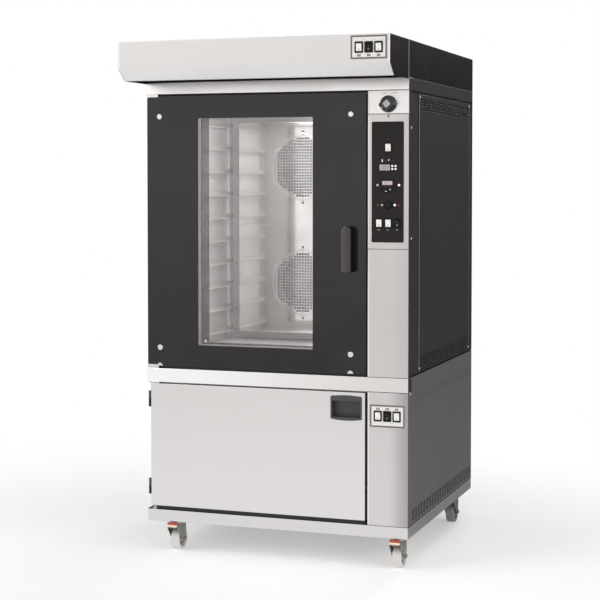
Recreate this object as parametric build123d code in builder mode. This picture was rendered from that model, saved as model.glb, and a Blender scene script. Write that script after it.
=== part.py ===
from build123d import *

import os
from math import cos, radians, sin

os.makedirs("parts", exist_ok=True)

# Bakery convection oven on a proofer, with a hood on top. Lengths are millimetres.
# The origin is on the floor under the middle of the whole machine, +Z is up, the front faces -Y.

# Overall sizes
WIDTH = 960
DEPTH = 945
VISOR_REACH = 228
SWITCH_REACH = 6.7
STUB_REACH = 20
CASTER_HEIGHT = 108
SKIRT_HEIGHT = 40
PROOFER_HEIGHT = 457
MID_BAND = 49
OVEN_HEIGHT = 970
TOP_BAND = 41
HOOD_HEIGHT = 126
COLUMN_WIDTH = 142
DOOR_RECESS = 45

# Sheets, seams and fits
SHEET = 2
SEAM = 1.5
TOUCH_GAP = 0.3
RUNNING_GAP = 0.05

# Sides and planes
LEFT = -WIDTH / 2
RIGHT = WIDTH / 2
FRONT = VISOR_REACH + SWITCH_REACH - (SWITCH_REACH + VISOR_REACH + DEPTH + STUB_REACH) / 2
BACK = FRONT + DEPTH
FRAME = FRONT + DOOR_RECESS
BEHIND_FRAME = FRAME + SHEET
COLUMN = RIGHT - COLUMN_WIDTH

# Levels
Z_BASE = CASTER_HEIGHT
Z_SKIRT = Z_BASE + SKIRT_HEIGHT
Z_MID = Z_SKIRT + PROOFER_HEIGHT
Z_OVEN = Z_MID + MID_BAND
Z_TOP = Z_OVEN + OVEN_HEIGHT
Z_HOOD = Z_TOP + TOP_BAND
Z_ROOF = Z_HOOD + HOOD_HEIGHT

# Oven cavity, its fans and trays
CAVITY_X = (LEFT + 93, LEFT + 737)
CAVITY_Z = (Z_OVEN + 58, Z_OVEN + 918)
CAVITY_BACK = FRONT + 600
INSULATION = 46
INSULATION_BACK = CAVITY_BACK + SHEET + INSULATION
BAFFLE_Y = FRONT + 488
BAFFLE_X = (LEFT + 160, LEFT + 672)
BAFFLE_MARGIN = 33
BAFFLE_CORNER = 12
BEAD_LENGTH = 168
BEAD_RADIUS = 2
FAN_X = LEFT + 417
FAN_Z = (936, 1370)
FAN_RADIUS = 115
FAN_HUB = 16
FAN_SHAFT = 7
FAN_BLADES = 10
FAN_Y = (FRONT + 512, FRONT + 577)
MOTOR_RADIUS = 60
MOTOR_LENGTH = 110
MOTOR_FLANGE = 180
MOTOR_BORE = 40
GUARD_RADIUS = 131
GUARD_RIM = 6
GUARD_HOLE = 7.6
GUARD_PITCH = 10.7
GUARD_BOLT_CIRCLE = 124.5
RING_RADIUS = 142
TUBE_RADIUS = 4
LEG_RADIUS = 5
RING_SETS = (FRONT + 520, FRONT + 560)
RACK_LEVELS = 10
RACK_PITCH = 86
RACK_BOTTOM = 745
RACK_Y = (FRONT + 62, FRONT + 560)
RACK_POST = 10
POST_INSET = 20
RAIL_WIDTH = 34
RAIL_GUIDE = 16

# Proofer chamber
CHAMBER_X = (LEFT + 45, LEFT + 775)
CHAMBER_Z = (Z_SKIRT + 37, Z_SKIRT + 430)
CHAMBER_BACK = FRONT + 860
WELL_DEPTH = 18
WELL_HALF = 150
WELL_Y = (FRONT + 350, FRONT + 600)
PROOFER_LEVELS = 5
PROOFER_PITCH = 70
PROOFER_BOTTOM = 218

# Oven door
DOOR_X = (LEFT + 2, LEFT + 812)
DOOR_Z = (Z_OVEN + 9, Z_TOP - 6)
DOOR_THICK = 40
GLASS_THICK = 6
PANE_THICK = 4
WINDOW_X = (LEFT + 194, LEFT + 621)
WINDOW_Z = (741, 1537)
PANE_LAP = 10
PANE_SCREW_INSET = (17, 12)
STUD_X = (LEFT + 51, LEFT + 758)
STUD_Z = (729, 1545)
STUD_RADIUS = 10
STUD_HEIGHT = 5
HINGE_PIN = 5
HINGE_AT = 14
BRACKET_LENGTH = 42
BRACKET_OVERLAP = 4
NOTCH_GAP = 1
NOTCH_SIDE_GAP = 3
GASKET_WIDTH = 7
GASKET_OFFSET = 1

# Oven door lever and its latch
HANDLE_X = LEFT + 753.5
HANDLE_WIDTH = 33
HANDLE_Z = (1011, 1166)
HANDLE_REACH = 46
HANDLE_GAP = 3
HANDLE_BEVEL = 5
HANDLE_BOSS = 14
LATCH_SHAFT = 6
LATCH_ARM = 42
LATCH_THICK = 3
LATCH_HALF = 5
KEEPER_RADIUS = 4
KEEPER_AT = 36

# Proofer door
TRAY_DOOR_X = (LEFT + 13, LEFT + 809)
TRAY_DOOR_Z = (Z_SKIRT + 14, Z_MID - 5.5)
TRAY_DOOR_THICK = 42
PULL_X = (LEFT + 686, LEFT + 798)
PULL_Z = (507, 589)
PULL_FLANGE = 3
PULL_DEPTH = 28
PULL_WALL = 3
PULL_LIP = 14
KNUCKLE_RADIUS = 5.5
KNUCKLE_AT = 7
KNUCKLE_PIN = 3
KNUCKLE_HALF = 28
KNUCKLE_Z = (230, 543)

# Controls
KNOB_AT = (LEFT + 889.5, 1577)
KNOB_RADIUS = 28.5
KNOB_SKIRT = 6
KNOB_GRIP = (52, 38)
KNOB_TURN = 40
KNOB_HEIGHT = 26
KNOB_SPINDLE = 4
PANEL_SPLITS = (1089, 1544)
PLATE_X = (LEFT + 832, LEFT + 943)
PLATE_Z = (1112, 1518)
PLATE_THICK = 3
PLATE_LAP = 10
ROCKER_WIDTH = 18
ROCKER_RADIUS = 13
ROCKER_PIVOT = 3
ROCKER_PITCH = 33
ROCKER_TILT = 6
BEZEL_RIM = 3.2
BEZEL_HEIGHT = 1.5
BUTTON_RADIUS = 4
BUTTON_LENGTH = 10
BUTTON_PROUD = 2.5
ROUND_BUTTON_RADIUS = 11
ROUND_BUTTON_LENGTH = 18
ROUND_BUTTON_PROUD = 5
SWITCH_PLATE = (122, 76)
SWITCH_PLATE_THICK = 2
PROOFER_SWITCH = (LEFT + 888, 524)
HOOD_SWITCH = (LEFT + 889, 1749)

# Hood
VISOR_DROP = 5
VISOR_FACE = 92
VISOR_SLANT = 46
COLLAR_RADIUS = 75
COLLAR_HEIGHT = 40
COLLAR_BACK = 145
FILTER_X = (LEFT + 42, RIGHT - 42)
FILTER_Z = (Z_HOOD + 22, Z_ROOF - 18)
FILTER_THICK = 12
FILTER_SLATS = 22

# Casters
WHEEL_RADIUS = 40
WHEEL_WIDTH = 32
CASTER_TRAIL = 24
FORK_INSIDE = 19
FORK_SHEET = 3
FORK_FRONT = 30
FORK_REAR = 36
CROWN_THICK = 4
AXLE_RADIUS = 4
KINGPIN_RADIUS = 6
KINGPIN_HEAD = 11
BOSS_RADIUS = 24
BOSS_HEIGHT = 11
CASTER_LEFT = 98
CASTER_RIGHT = 43
CASTER_FRONT = 28
CASTER_REAR = 160
FLANGE = 145
FLANGE_THICK = 3


def block(x, y, z, mode=Mode.ADD):
    """Box from the first to the second value along each axis."""
    with Locations((middle(x), middle(y), middle(z))):
        Box(span(x), span(y), span(z), mode=mode)


def rod_x(x, y, z, radius, mode=Mode.ADD):
    """Round bar along X, between two values of X."""
    with Locations(Location((middle(x), y, z), (0, 90, 0))):
        Cylinder(radius, span(x), mode=mode)


def rod_y(x, y, z, radius, mode=Mode.ADD):
    """Round bar along Y, between two values of Y."""
    with Locations(Location((x, middle(y), z), (90, 0, 0))):
        Cylinder(radius, span(y), mode=mode)


def rod_z(x, y, z, radius, mode=Mode.ADD):
    """Round bar along Z, between two values of Z."""
    with Locations((x, y, middle(z))):
        Cylinder(radius, span(z), mode=mode)


def middle(pair):
    return (pair[0] + pair[1]) / 2


def span(pair):
    return pair[1] - pair[0]


def grown(pair, amount):
    return (pair[0] - amount, pair[1] + amount)


def around(value, size):
    return (value - size / 2, value + size / 2)


def facing(y):
    """Drawing plane at depth y, seen from the front: its axes are X and Z. Extrude by -t goes back."""
    return Plane.XZ.offset(-y)


def sideways(x):
    """Drawing plane at x, seen from the right: its axes are Y and Z."""
    return Plane.YZ.offset(x)


def finish(builder, name):
    builder.part.label = name
    export_step(builder.part, f"parts/{name}.step")


def finish_group(builders, name):
    """Labels pieces that touch but stay separate solids, and writes them as one sub-part."""
    export_step(Compound(children=[builder.part for builder in builders], label=name), f"parts/{name}.step")


# Base frame: folded skirt with its floor plate and an inward flange that carries the casters
with BuildPart() as base_frame:
    block((LEFT, RIGHT), (FRONT, BACK), (Z_BASE, Z_SKIRT))
    fillet(base_frame.edges().filter_by(Axis.Z), 3)
    block((LEFT + SHEET, RIGHT - SHEET), (FRONT + SHEET, BACK - SHEET),
          (Z_BASE + FLANGE_THICK, Z_SKIRT - SHEET), mode=Mode.SUBTRACT)
    block((LEFT + FLANGE, RIGHT - FLANGE), (FRONT + FLANGE, BACK - FLANGE - BOSS_RADIUS * 2),
          (Z_BASE, Z_BASE + FLANGE_THICK), mode=Mode.SUBTRACT)
finish(base_frame, "base_frame")

# Caster mounts: raceway boss, kingpin and its head, bolted under the flange
casters = {
    "front_left": (LEFT + CASTER_LEFT, FRONT + CASTER_FRONT),
    "front_right": (RIGHT - CASTER_RIGHT, FRONT + CASTER_FRONT),
    "rear_left": (LEFT + CASTER_LEFT, BACK - CASTER_REAR),
    "rear_right": (RIGHT - CASTER_RIGHT, BACK - CASTER_REAR),
}
Z_CROWN = Z_BASE - BOSS_HEIGHT - TOUCH_GAP
Z_CROWN_UNDER = Z_CROWN - CROWN_THICK
Z_HEAD = Z_CROWN_UNDER - TOUCH_GAP
HEAD_THICK = 3
with BuildPart() as caster_mounts:
    for cx, cy in casters.values():
        rod_z(cx, cy, (Z_BASE - BOSS_HEIGHT, Z_BASE), BOSS_RADIUS)
        rod_z(cx, cy, (Z_HEAD - HEAD_THICK, Z_BASE), KINGPIN_RADIUS)
        rod_z(cx, cy, (Z_HEAD - HEAD_THICK, Z_HEAD), KINGPIN_HEAD)
finish(caster_mounts, "caster_mounts")

# Casters: fork with two tapering cheeks and the axle bolt, wheel, and a brake pedal on the front ones
PEDAL_BACK = 18
PEDAL_Z = 84
PEDAL_PIN = 2.5
PEDAL_HUB = 5.5
PEDAL_FRONT = FORK_FRONT + 3
PEDAL_TREAD = 8
PEDAL_HALF = 18
PEDAL_TOP = Z_BASE - 2
PEDAL_BOTTOM = PEDAL_TOP - 16
fork_outside = FORK_INSIDE + FORK_SHEET
for place, (cx, cy) in casters.items():
    braked = place.startswith("front")
    axle_y = cy + CASTER_TRAIL
    with BuildPart() as fork:
        for side in (-1, 1):
            with BuildSketch(sideways(cx + side * FORK_INSIDE)):
                with BuildLine():
                    Polyline(
                        (cy - FORK_FRONT, Z_CROWN),
                        (cy - FORK_FRONT, Z_CROWN - 16),
                        (axle_y - 11, WHEEL_RADIUS - 8),
                        (axle_y + 10, WHEEL_RADIUS - 8),
                        (cy + FORK_REAR, Z_CROWN - 14),
                        (cy + FORK_REAR, Z_CROWN),
                        close=True)
                make_face()
                fillet(vertices().group_by(Axis.Y)[0], 4)
            extrude(amount=side * FORK_SHEET)
        block(grown((cx, cx), FORK_INSIDE), (cy - FORK_FRONT, cy + FORK_REAR - 6),
              (Z_CROWN_UNDER, Z_CROWN))
        rod_z(cx, cy, (Z_CROWN_UNDER, Z_CROWN), KINGPIN_RADIUS + RUNNING_GAP, mode=Mode.SUBTRACT)
        rod_x(grown((cx, cx), fork_outside), axle_y, WHEEL_RADIUS, AXLE_RADIUS)
        for side in (-1, 1):
            with BuildSketch(sideways(cx + side * fork_outside)):
                with Locations((axle_y, WHEEL_RADIUS)):
                    RegularPolygon(7, 6)
            extrude(amount=side * 5)
        if braked:
            rod_x(grown((cx, cx), fork_outside), cy - PEDAL_BACK, PEDAL_Z, PEDAL_PIN)
    finish(fork, f"caster_fork_{place}")

    with BuildPart() as wheel:
        section = Plane(origin=(cx, axle_y, WHEEL_RADIUS), x_dir=(1, 0, 0), z_dir=(0, -1, 0))
        half = WHEEL_WIDTH / 2
        hub = FORK_INSIDE - TOUCH_GAP
        with BuildSketch(section):
            with BuildLine():
                Polyline(
                    (-hub, AXLE_RADIUS + RUNNING_GAP), (hub, AXLE_RADIUS + RUNNING_GAP),
                    (hub, 10), (7, 12), (7, 27), (half, 30), (half, WHEEL_RADIUS),
                    (-half, WHEEL_RADIUS), (-half, 30), (-7, 27), (-7, 12), (-hub, 10),
                    close=True)
            make_face()
            fillet(vertices().group_by(Axis.Y)[-1], 4)
        revolve(axis=Axis((cx, axle_y, WHEEL_RADIUS), (1, 0, 0)))
    finish(wheel, f"caster_wheel_{place}")

    if braked:
        with BuildPart() as pedal:
            rod_x(grown((cx, cx), FORK_INSIDE - TOUCH_GAP), cy - PEDAL_BACK, PEDAL_Z, PEDAL_HUB)
            with BuildSketch(sideways(cx - PEDAL_HALF + 7)):
                with BuildLine():
                    Polyline(
                        (cy - PEDAL_BACK, PEDAL_Z - PEDAL_HUB),
                        (cy - PEDAL_BACK, PEDAL_Z),
                        (cy - PEDAL_FRONT, PEDAL_BOTTOM + 1),
                        (cy - PEDAL_FRONT, PEDAL_BOTTOM - 5),
                        close=True)
                make_face()
            extrude(amount=2 * PEDAL_HALF - 14)
            with BuildSketch(sideways(cx - PEDAL_HALF)):
                with BuildLine():
                    Polyline(
                        (cy - PEDAL_FRONT, PEDAL_BOTTOM),
                        (cy - PEDAL_FRONT, PEDAL_TOP),
                        (cy - PEDAL_FRONT - 4, PEDAL_TOP),
                        (cy - PEDAL_FRONT - PEDAL_TREAD, PEDAL_TOP - 8),
                        (cy - PEDAL_FRONT - PEDAL_TREAD, PEDAL_BOTTOM),
                        close=True)
                make_face()
            extrude(amount=2 * PEDAL_HALF)
            rod_x(grown((cx, cx), FORK_INSIDE), cy - PEDAL_BACK, PEDAL_Z,
                  PEDAL_PIN + RUNNING_GAP, mode=Mode.SUBTRACT)
        finish(pedal, f"brake_pedal_{place}")

# Vent slots of the side sheets
SLOT = (28, 5)
SLOT_PITCH = (38, 8.5)


def vent_slots(y_middle, z_middle, columns, rows):
    """Rows of rounded slots cut in the sheet being drawn."""
    with Locations((y_middle, z_middle)):
        with GridLocations(SLOT_PITCH[0], SLOT_PITCH[1], columns, rows):
            SlotOverall(SLOT[0], SLOT[1], mode=Mode.SUBTRACT)


# Proofer casing: back sheet with the water and drain stubs, side sheets with vent slots
WATER_STUB = (LEFT + 140, 210)
DRAIN_STUB = (LEFT + 300, 178)
WATER_RADIUS = 13.2
DRAIN_RADIUS = 16
STUB_WALL = 3
PROOFER_VENT_COLUMNS = 23
PROOFER_VENT_ROWS = (5, 4)
PROOFER_VENT_Y = FRONT + 488
proofer_side_y = (BEHIND_FRAME, BACK - SHEET)
proofer_side_z = (Z_SKIRT, Z_OVEN - SEAM)
with BuildPart() as proofer_casing:
    block((LEFT, RIGHT), (BACK - SHEET, BACK), proofer_side_z)
    for (stub_x, stub_z), radius in ((WATER_STUB, WATER_RADIUS), (DRAIN_STUB, DRAIN_RADIUS)):
        rod_y(stub_x, (BACK, BACK + STUB_REACH), stub_z, radius)
        rod_y(stub_x, (BACK - SHEET, BACK + STUB_REACH), stub_z, radius - STUB_WALL, mode=Mode.SUBTRACT)
    block((RIGHT - SHEET, RIGHT), (FRONT + SHEET, BEHIND_FRAME), (Z_SKIRT, Z_MID))
    with BuildSketch(sideways(LEFT), sideways(RIGHT - SHEET)):
        with Locations((middle(proofer_side_y), middle(proofer_side_z))):
            Rectangle(span(proofer_side_y), span(proofer_side_z))
        vent_slots(PROOFER_VENT_Y, Z_SKIRT + 32, PROOFER_VENT_COLUMNS, PROOFER_VENT_ROWS[0])
        vent_slots(PROOFER_VENT_Y, Z_MID - 27, PROOFER_VENT_COLUMNS, PROOFER_VENT_ROWS[1])
    extrude(amount=SHEET, clean=False)
finish(proofer_casing, "proofer_casing")


def column_sheet(z):
    """One folded sheet of the right-hand column, with its return towards the door."""
    block((COLUMN, RIGHT), (FRONT, FRONT + SHEET), z)
    block((COLUMN, COLUMN + SHEET), (FRONT, FRAME), z)


# Proofer front: frame round the chamber's mouth, and its part of the column
SWITCH_HOLE = (ROCKER_PITCH * 2 + ROCKER_WIDTH + 8, ROCKER_RADIUS * 2 + 4)
with BuildPart() as proofer_front:
    block((LEFT, COLUMN + SHEET), (FRAME, BEHIND_FRAME), (Z_SKIRT, Z_MID))
    block(CHAMBER_X, (FRAME, BEHIND_FRAME), CHAMBER_Z, mode=Mode.SUBTRACT)
    column_sheet((Z_SKIRT + SEAM, Z_MID - SEAM))
    block(around(PROOFER_SWITCH[0], SWITCH_HOLE[0]), (FRONT, FRONT + SHEET),
          around(PROOFER_SWITCH[1], SWITCH_HOLE[1]), mode=Mode.SUBTRACT)
    fillet(proofer_front.edges().filter_by(Axis.Z).group_by(Axis.Y)[0], 1.2)
finish(proofer_front, "proofer_front")

# Proofer chamber: stainless liner with a water well pressed in its floor
with BuildPart() as proofer_chamber:
    block(grown(CHAMBER_X, SHEET), (BEHIND_FRAME, CHAMBER_BACK + SHEET), grown(CHAMBER_Z, SHEET))
    well_x = grown((middle(CHAMBER_X), middle(CHAMBER_X)), WELL_HALF)
    well_z = (CHAMBER_Z[0] - WELL_DEPTH, CHAMBER_Z[0])
    block(grown(well_x, SHEET), grown(WELL_Y, SHEET), (well_z[0] - SHEET, well_z[1]))
    block(CHAMBER_X, (BEHIND_FRAME, CHAMBER_BACK), CHAMBER_Z, mode=Mode.SUBTRACT)
    block(well_x, WELL_Y, well_z, mode=Mode.SUBTRACT)
finish(proofer_chamber, "proofer_chamber")


# Tray racks of the oven and the proofer: posts against the walls, shelf strips fixed to them at every level,
# and guide strips that stand on the shelves
PROOFER_RACK_Y = (FRONT + 70, FRONT + 700)
oven_heights = [RACK_BOTTOM + level * RACK_PITCH for level in range(RACK_LEVELS)]
proofer_heights = [PROOFER_BOTTOM + level * PROOFER_PITCH for level in range(PROOFER_LEVELS)]
racks = [
    (CAVITY_X[0], 1, RACK_Y, grown(CAVITY_Z, -4), oven_heights),
    (CAVITY_X[1], -1, RACK_Y, grown(CAVITY_Z, -4), oven_heights),
    (CHAMBER_X[0], 1, PROOFER_RACK_Y, (CHAMBER_Z[0], CHAMBER_Z[1] - 4), proofer_heights),
    (CHAMBER_X[1], -1, PROOFER_RACK_Y, (CHAMBER_Z[0], CHAMBER_Z[1] - 4), proofer_heights)]
shelf_width = RAIL_WIDTH - RACK_POST
guide_height = RAIL_GUIDE - SHEET
with BuildPart() as rack_posts:
    for wall_x, inward, y, z, heights in racks:
        for post_y in (y[0] + POST_INSET, y[1] - POST_INSET):
            with Locations((wall_x + inward * RACK_POST / 2, post_y, middle(z))):
                Box(RACK_POST, RACK_POST, span(z))
with BuildPart() as rack_shelves:
    for wall_x, inward, y, z, heights in racks:
        shelf_x = wall_x + inward * (RACK_POST + shelf_width / 2)
        with Locations(*[(shelf_x, middle(y), height + SHEET / 2) for height in heights]):
            Box(shelf_width, span(y), SHEET)
with BuildPart() as rack_guides:
    for wall_x, inward, y, z, heights in racks:
        guide_x = wall_x + inward * (RACK_POST + SHEET / 2)
        with Locations(*[(guide_x, middle(y), height + SHEET + guide_height / 2) for height in heights]):
            Box(SHEET, span(y), guide_height)
finish_group([rack_posts, rack_shelves, rack_guides], "tray_racks")

# Oven casing: side skins, strips beside the top band, back sheet and floor sheet
skin_y = (BEHIND_FRAME, BACK - SHEET)
skin_z = (Z_OVEN + SEAM, Z_HOOD)
with BuildPart() as oven_casing:
    for edge, inward in ((LEFT, 1), (RIGHT, -1)):
        skin_x = sorted((edge + inward * SHEET, edge + inward * 2 * SHEET))
        strip_x = sorted((edge, edge + inward * SHEET))
        block(skin_x, skin_y, skin_z)
        block(strip_x, (FRAME + (SHEET if edge == LEFT else 0), BACK - SHEET), (Z_TOP, Z_HOOD))
    block((RIGHT - 2 * SHEET, RIGHT - SHEET), (FRONT + SHEET, BEHIND_FRAME), (Z_OVEN + SEAM, Z_TOP - SEAM))
    block((LEFT, RIGHT), (BACK - SHEET, BACK), (Z_OVEN, Z_HOOD))
    block((LEFT + 2 * SHEET, RIGHT - 2 * SHEET), (BEHIND_FRAME, BACK - SHEET), (Z_OVEN, Z_OVEN + SHEET))
finish(oven_casing, "oven_casing")

# Removable side covers with a band of vent slots near the top and the bottom
COVER_Y = (FRONT + 138, FRONT + 893)
COVER_Z = (Z_OVEN + 10, Z_TOP - 9)
COVER_COLUMNS = 19
COVER_ROWS = (5, 6)
with BuildPart() as side_covers:
    with BuildSketch(sideways(LEFT), sideways(RIGHT - SHEET)):
        with Locations((middle(COVER_Y), middle(COVER_Z))):
            RectangleRounded(span(COVER_Y), span(COVER_Z), 3)
        vent_slots(middle(COVER_Y), COVER_Z[1] - 34, COVER_COLUMNS, COVER_ROWS[0])
        vent_slots(middle(COVER_Y), COVER_Z[0] + 26, COVER_COLUMNS, COVER_ROWS[1])
    extrude(amount=SHEET, clean=False)
finish(side_covers, "side_covers")

# Oven cavity: stainless liner, open at the front, with holes for shafts and heater tubes
fans = ((FAN_X, FAN_Z[0]), (FAN_X, FAN_Z[1]))
RING_GAP_ANGLE = 18
LEG_ANGLES = (90 - RING_GAP_ANGLE, 90 + RING_GAP_ANGLE)
SHAFT_HOLE = 10


def ring_ends(fan_x, fan_z, radius):
    """Where the two ends of a heater ring turn back through the wall."""
    return [(fan_x + radius * cos(radians(a)), fan_z + radius * sin(radians(a))) for a in LEG_ANGLES]


RING_RADII = (RING_RADIUS, RING_RADIUS + 12)
with BuildPart() as oven_cavity:
    block(grown(CAVITY_X, SHEET), (BEHIND_FRAME, CAVITY_BACK + SHEET), grown(CAVITY_Z, SHEET))
    block(CAVITY_X, (BEHIND_FRAME, CAVITY_BACK), CAVITY_Z, mode=Mode.SUBTRACT)
    for fan_x, fan_z in fans:
        rod_y(fan_x, (CAVITY_BACK, CAVITY_BACK + SHEET), fan_z, SHAFT_HOLE, mode=Mode.SUBTRACT)
        for radius in RING_RADII:
            for leg_x, leg_z in ring_ends(fan_x, fan_z, radius):
                rod_y(leg_x, (CAVITY_BACK, CAVITY_BACK + SHEET), leg_z, LEG_RADIUS + TOUCH_GAP,
                      mode=Mode.SUBTRACT)
finish(oven_cavity, "oven_cavity")

# Insulation: mineral wool round the liner, resting on the oven's floor sheet
LEG_ROOM = 12
with BuildPart() as insulation:
    wool = INSULATION + SHEET
    block(grown(CAVITY_X, wool), (BEHIND_FRAME, INSULATION_BACK), (Z_OVEN + SHEET, CAVITY_Z[1] + wool))
    block(grown(CAVITY_X, SHEET), (BEHIND_FRAME, CAVITY_BACK + SHEET), grown(CAVITY_Z, SHEET),
          mode=Mode.SUBTRACT)
    for fan_x, fan_z in fans:
        rod_y(fan_x, (CAVITY_BACK, INSULATION_BACK), fan_z, SHAFT_HOLE, mode=Mode.SUBTRACT)
        for radius in RING_RADII:
            for leg_x, leg_z in ring_ends(fan_x, fan_z, radius):
                rod_y(leg_x, (CAVITY_BACK, CAVITY_BACK + SHEET + LEG_ROOM), leg_z, LEG_RADIUS + TOUCH_GAP,
                      mode=Mode.SUBTRACT)
finish(insulation, "insulation")

# Fan baffle: stainless sheet on four posts with a bead across, and a six-sided mesh guard before each fan
baffle_z = grown(CAVITY_Z, -BAFFLE_MARGIN)
mesh_reach = (GUARD_RADIUS - GUARD_RIM) * cos(radians(30)) - GUARD_HOLE / 2
mesh_cells = int(GUARD_RADIUS / GUARD_PITCH)


def in_guard(x, z):
    """Whether a mesh hole at this place lies inside the guard's six-sided rim."""
    return all(abs(x * cos(radians(a)) + z * sin(radians(a))) < mesh_reach for a in (0, 60, 120))


mesh_holes = [(column * GUARD_PITCH, row * GUARD_PITCH)
              for column in range(-mesh_cells, mesh_cells + 1)
              for row in range(-mesh_cells, mesh_cells + 1)
              if in_guard(column * GUARD_PITCH, row * GUARD_PITCH)]
with BuildPart() as fan_baffle:
    with BuildSketch(facing(BAFFLE_Y)):
        with Locations((middle(BAFFLE_X), middle(baffle_z))):
            RectangleRounded(span(BAFFLE_X), span(baffle_z), BAFFLE_CORNER)
        with Locations(*fans):
            Circle(GUARD_RADIUS - 3 * GUARD_RIM, mode=Mode.SUBTRACT)
    extrude(amount=-SHEET)
    for post_x in grown(BAFFLE_X, -30):
        for post_z in grown(baffle_z, -30):
            rod_y(post_x, (BAFFLE_Y + SHEET, CAVITY_BACK), post_z, 5)
    for side in (-1, 1):
        bead_x = middle(BAFFLE_X) + side * (span(BAFFLE_X) / 2 - 16 - BEAD_LENGTH / 2)
        rod_x(around(bead_x, BEAD_LENGTH), BAFFLE_Y, middle(FAN_Z), BEAD_RADIUS)
    with BuildSketch(facing(BAFFLE_Y - SHEET)):
        with Locations(*fans):
            with PolarLocations(GUARD_BOLT_CIRCLE, 6, start_angle=90):
                RegularPolygon(4, 6)
    extrude(amount=3)
    for fan_x, fan_z in fans:
        with BuildSketch(facing(BAFFLE_Y)):
            with Locations((fan_x, fan_z)):
                RegularPolygon(GUARD_RADIUS, 6, rotation=30)
                with Locations(*mesh_holes):
                    Rectangle(GUARD_HOLE, GUARD_HOLE, mode=Mode.SUBTRACT)
        extrude(amount=SHEET, clean=False)
finish(fan_baffle, "fan_baffle")

# Fan motors behind the insulation, and the extraction blower in the hood
BLOWER_RADIUS = 105
BLOWER_HEIGHT = 85
BLOWER_Y = FRONT + 420
with BuildPart() as fan_motors:
    for fan_x, fan_z in fans:
        block(around(fan_x, MOTOR_FLANGE), (INSULATION_BACK, INSULATION_BACK + 4), around(fan_z, MOTOR_FLANGE))
        rod_y(fan_x, (INSULATION_BACK, INSULATION_BACK + MOTOR_LENGTH), fan_z, MOTOR_RADIUS)
        rod_y(fan_x, (INSULATION_BACK, INSULATION_BACK + MOTOR_BORE), fan_z, FAN_SHAFT + RUNNING_GAP,
              mode=Mode.SUBTRACT)
    rod_z(0, BLOWER_Y, (Z_HOOD + SHEET, Z_HOOD + SHEET + BLOWER_HEIGHT), BLOWER_RADIUS)
    block((0, BLOWER_RADIUS + 60), (BLOWER_Y + 25, BLOWER_Y + BLOWER_RADIUS),
          (Z_HOOD + SHEET, Z_HOOD + SHEET + BLOWER_HEIGHT))
finish(fan_motors, "fan_motors")

# Circulation fans: hub, back disc, straight blades, and the shaft that runs in the motor
for level, (fan_x, fan_z) in zip(("lower", "upper"), fans):
    with BuildPart() as fan:
        rod_y(fan_x, FAN_Y, fan_z, FAN_HUB)
        rod_y(fan_x, (FAN_Y[1] - SHEET, FAN_Y[1]), fan_z, FAN_RADIUS)
        blade_reach = (FAN_HUB + 44, FAN_RADIUS)
        with BuildSketch(facing(FAN_Y[1] - SHEET)):
            with Locations((fan_x, fan_z)):
                with PolarLocations(middle(blade_reach), FAN_BLADES):
                    Rectangle(span(blade_reach), SHEET)
        extrude(amount=span(FAN_Y) - SHEET)
        rod_y(fan_x, (FAN_Y[1], INSULATION_BACK + MOTOR_BORE - 2), fan_z, FAN_SHAFT)
    finish(fan, f"oven_fan_{level}")

# Heating elements: rings round each fan, and a loop in the proofer's water well
with BuildPart() as heating_elements:
    for fan_x, fan_z in fans:
        for ring_y, radius in zip(RING_SETS, RING_RADII):
            ring_centre = (fan_x, ring_y, fan_z)
            outwards = (cos(radians(LEG_ANGLES[0])), 0, sin(radians(LEG_ANGLES[0])))
            along = (-outwards[2], 0, outwards[0])
            with BuildSketch(Plane(origin=ring_centre, x_dir=outwards, z_dir=along)):
                with Locations((radius, 0)):
                    Circle(TUBE_RADIUS)
            revolve(axis=Axis(ring_centre, (0, 1, 0)), revolution_arc=360 - 2 * RING_GAP_ANGLE)
            for leg_x, leg_z in ring_ends(fan_x, fan_z, radius):
                rod_y(leg_x, (ring_y - LEG_RADIUS, CAVITY_BACK + SHEET + LEG_ROOM - 2), leg_z, LEG_RADIUS)
    loop_z = CHAMBER_Z[0] - WELL_DEPTH + LEG_RADIUS + TOUCH_GAP
    loop_x = grown((middle(CHAMBER_X), middle(CHAMBER_X)), WELL_HALF - 25)
    loop_y = grown(WELL_Y, -60)
    for bar_y in loop_y:
        rod_x(loop_x, bar_y, loop_z, TUBE_RADIUS)
    for end_x in loop_x:
        rod_y(end_x, grown(loop_y, LEG_RADIUS), loop_z, LEG_RADIUS)
finish(heating_elements, "heating_elements")

# Oven fascia: frame round the cavity's mouth, a band above and below, and three column panels
with BuildPart() as oven_fascia:
    block((LEFT, COLUMN + SHEET), (FRAME, BEHIND_FRAME), (Z_MID, Z_HOOD))
    for band in ((Z_MID, Z_OVEN), (Z_TOP, Z_HOOD)):
        block((LEFT, RIGHT), (FRONT, FRAME), band)
    fillet(oven_fascia.edges().filter_by(Axis.X).group_by(Axis.Y)[0], 1.5)
    for band in ((Z_MID, Z_OVEN), (Z_TOP, Z_HOOD)):
        block((LEFT + SHEET, RIGHT - SHEET), (FRONT + SHEET, FRAME), grown(band, -SHEET), mode=Mode.SUBTRACT)
    block(CAVITY_X, (FRAME, BEHIND_FRAME), CAVITY_Z, mode=Mode.SUBTRACT)
    column_sheet((Z_OVEN + SEAM, PANEL_SPLITS[0] - SEAM / 2))
    column_sheet((PANEL_SPLITS[0] + SEAM / 2, PANEL_SPLITS[1] - SEAM / 2))
    column_sheet((PANEL_SPLITS[1] + SEAM / 2, Z_TOP - SEAM))
    block(grown(PLATE_X, -PLATE_LAP), (FRONT, FRONT + SHEET), grown(PLATE_Z, -PLATE_LAP), mode=Mode.SUBTRACT)
    rod_y(KNOB_AT[0], (FRONT, FRONT + SHEET), KNOB_AT[1], KNOB_SPINDLE + RUNNING_GAP, mode=Mode.SUBTRACT)
finish(oven_fascia, "oven_fascia")


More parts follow.
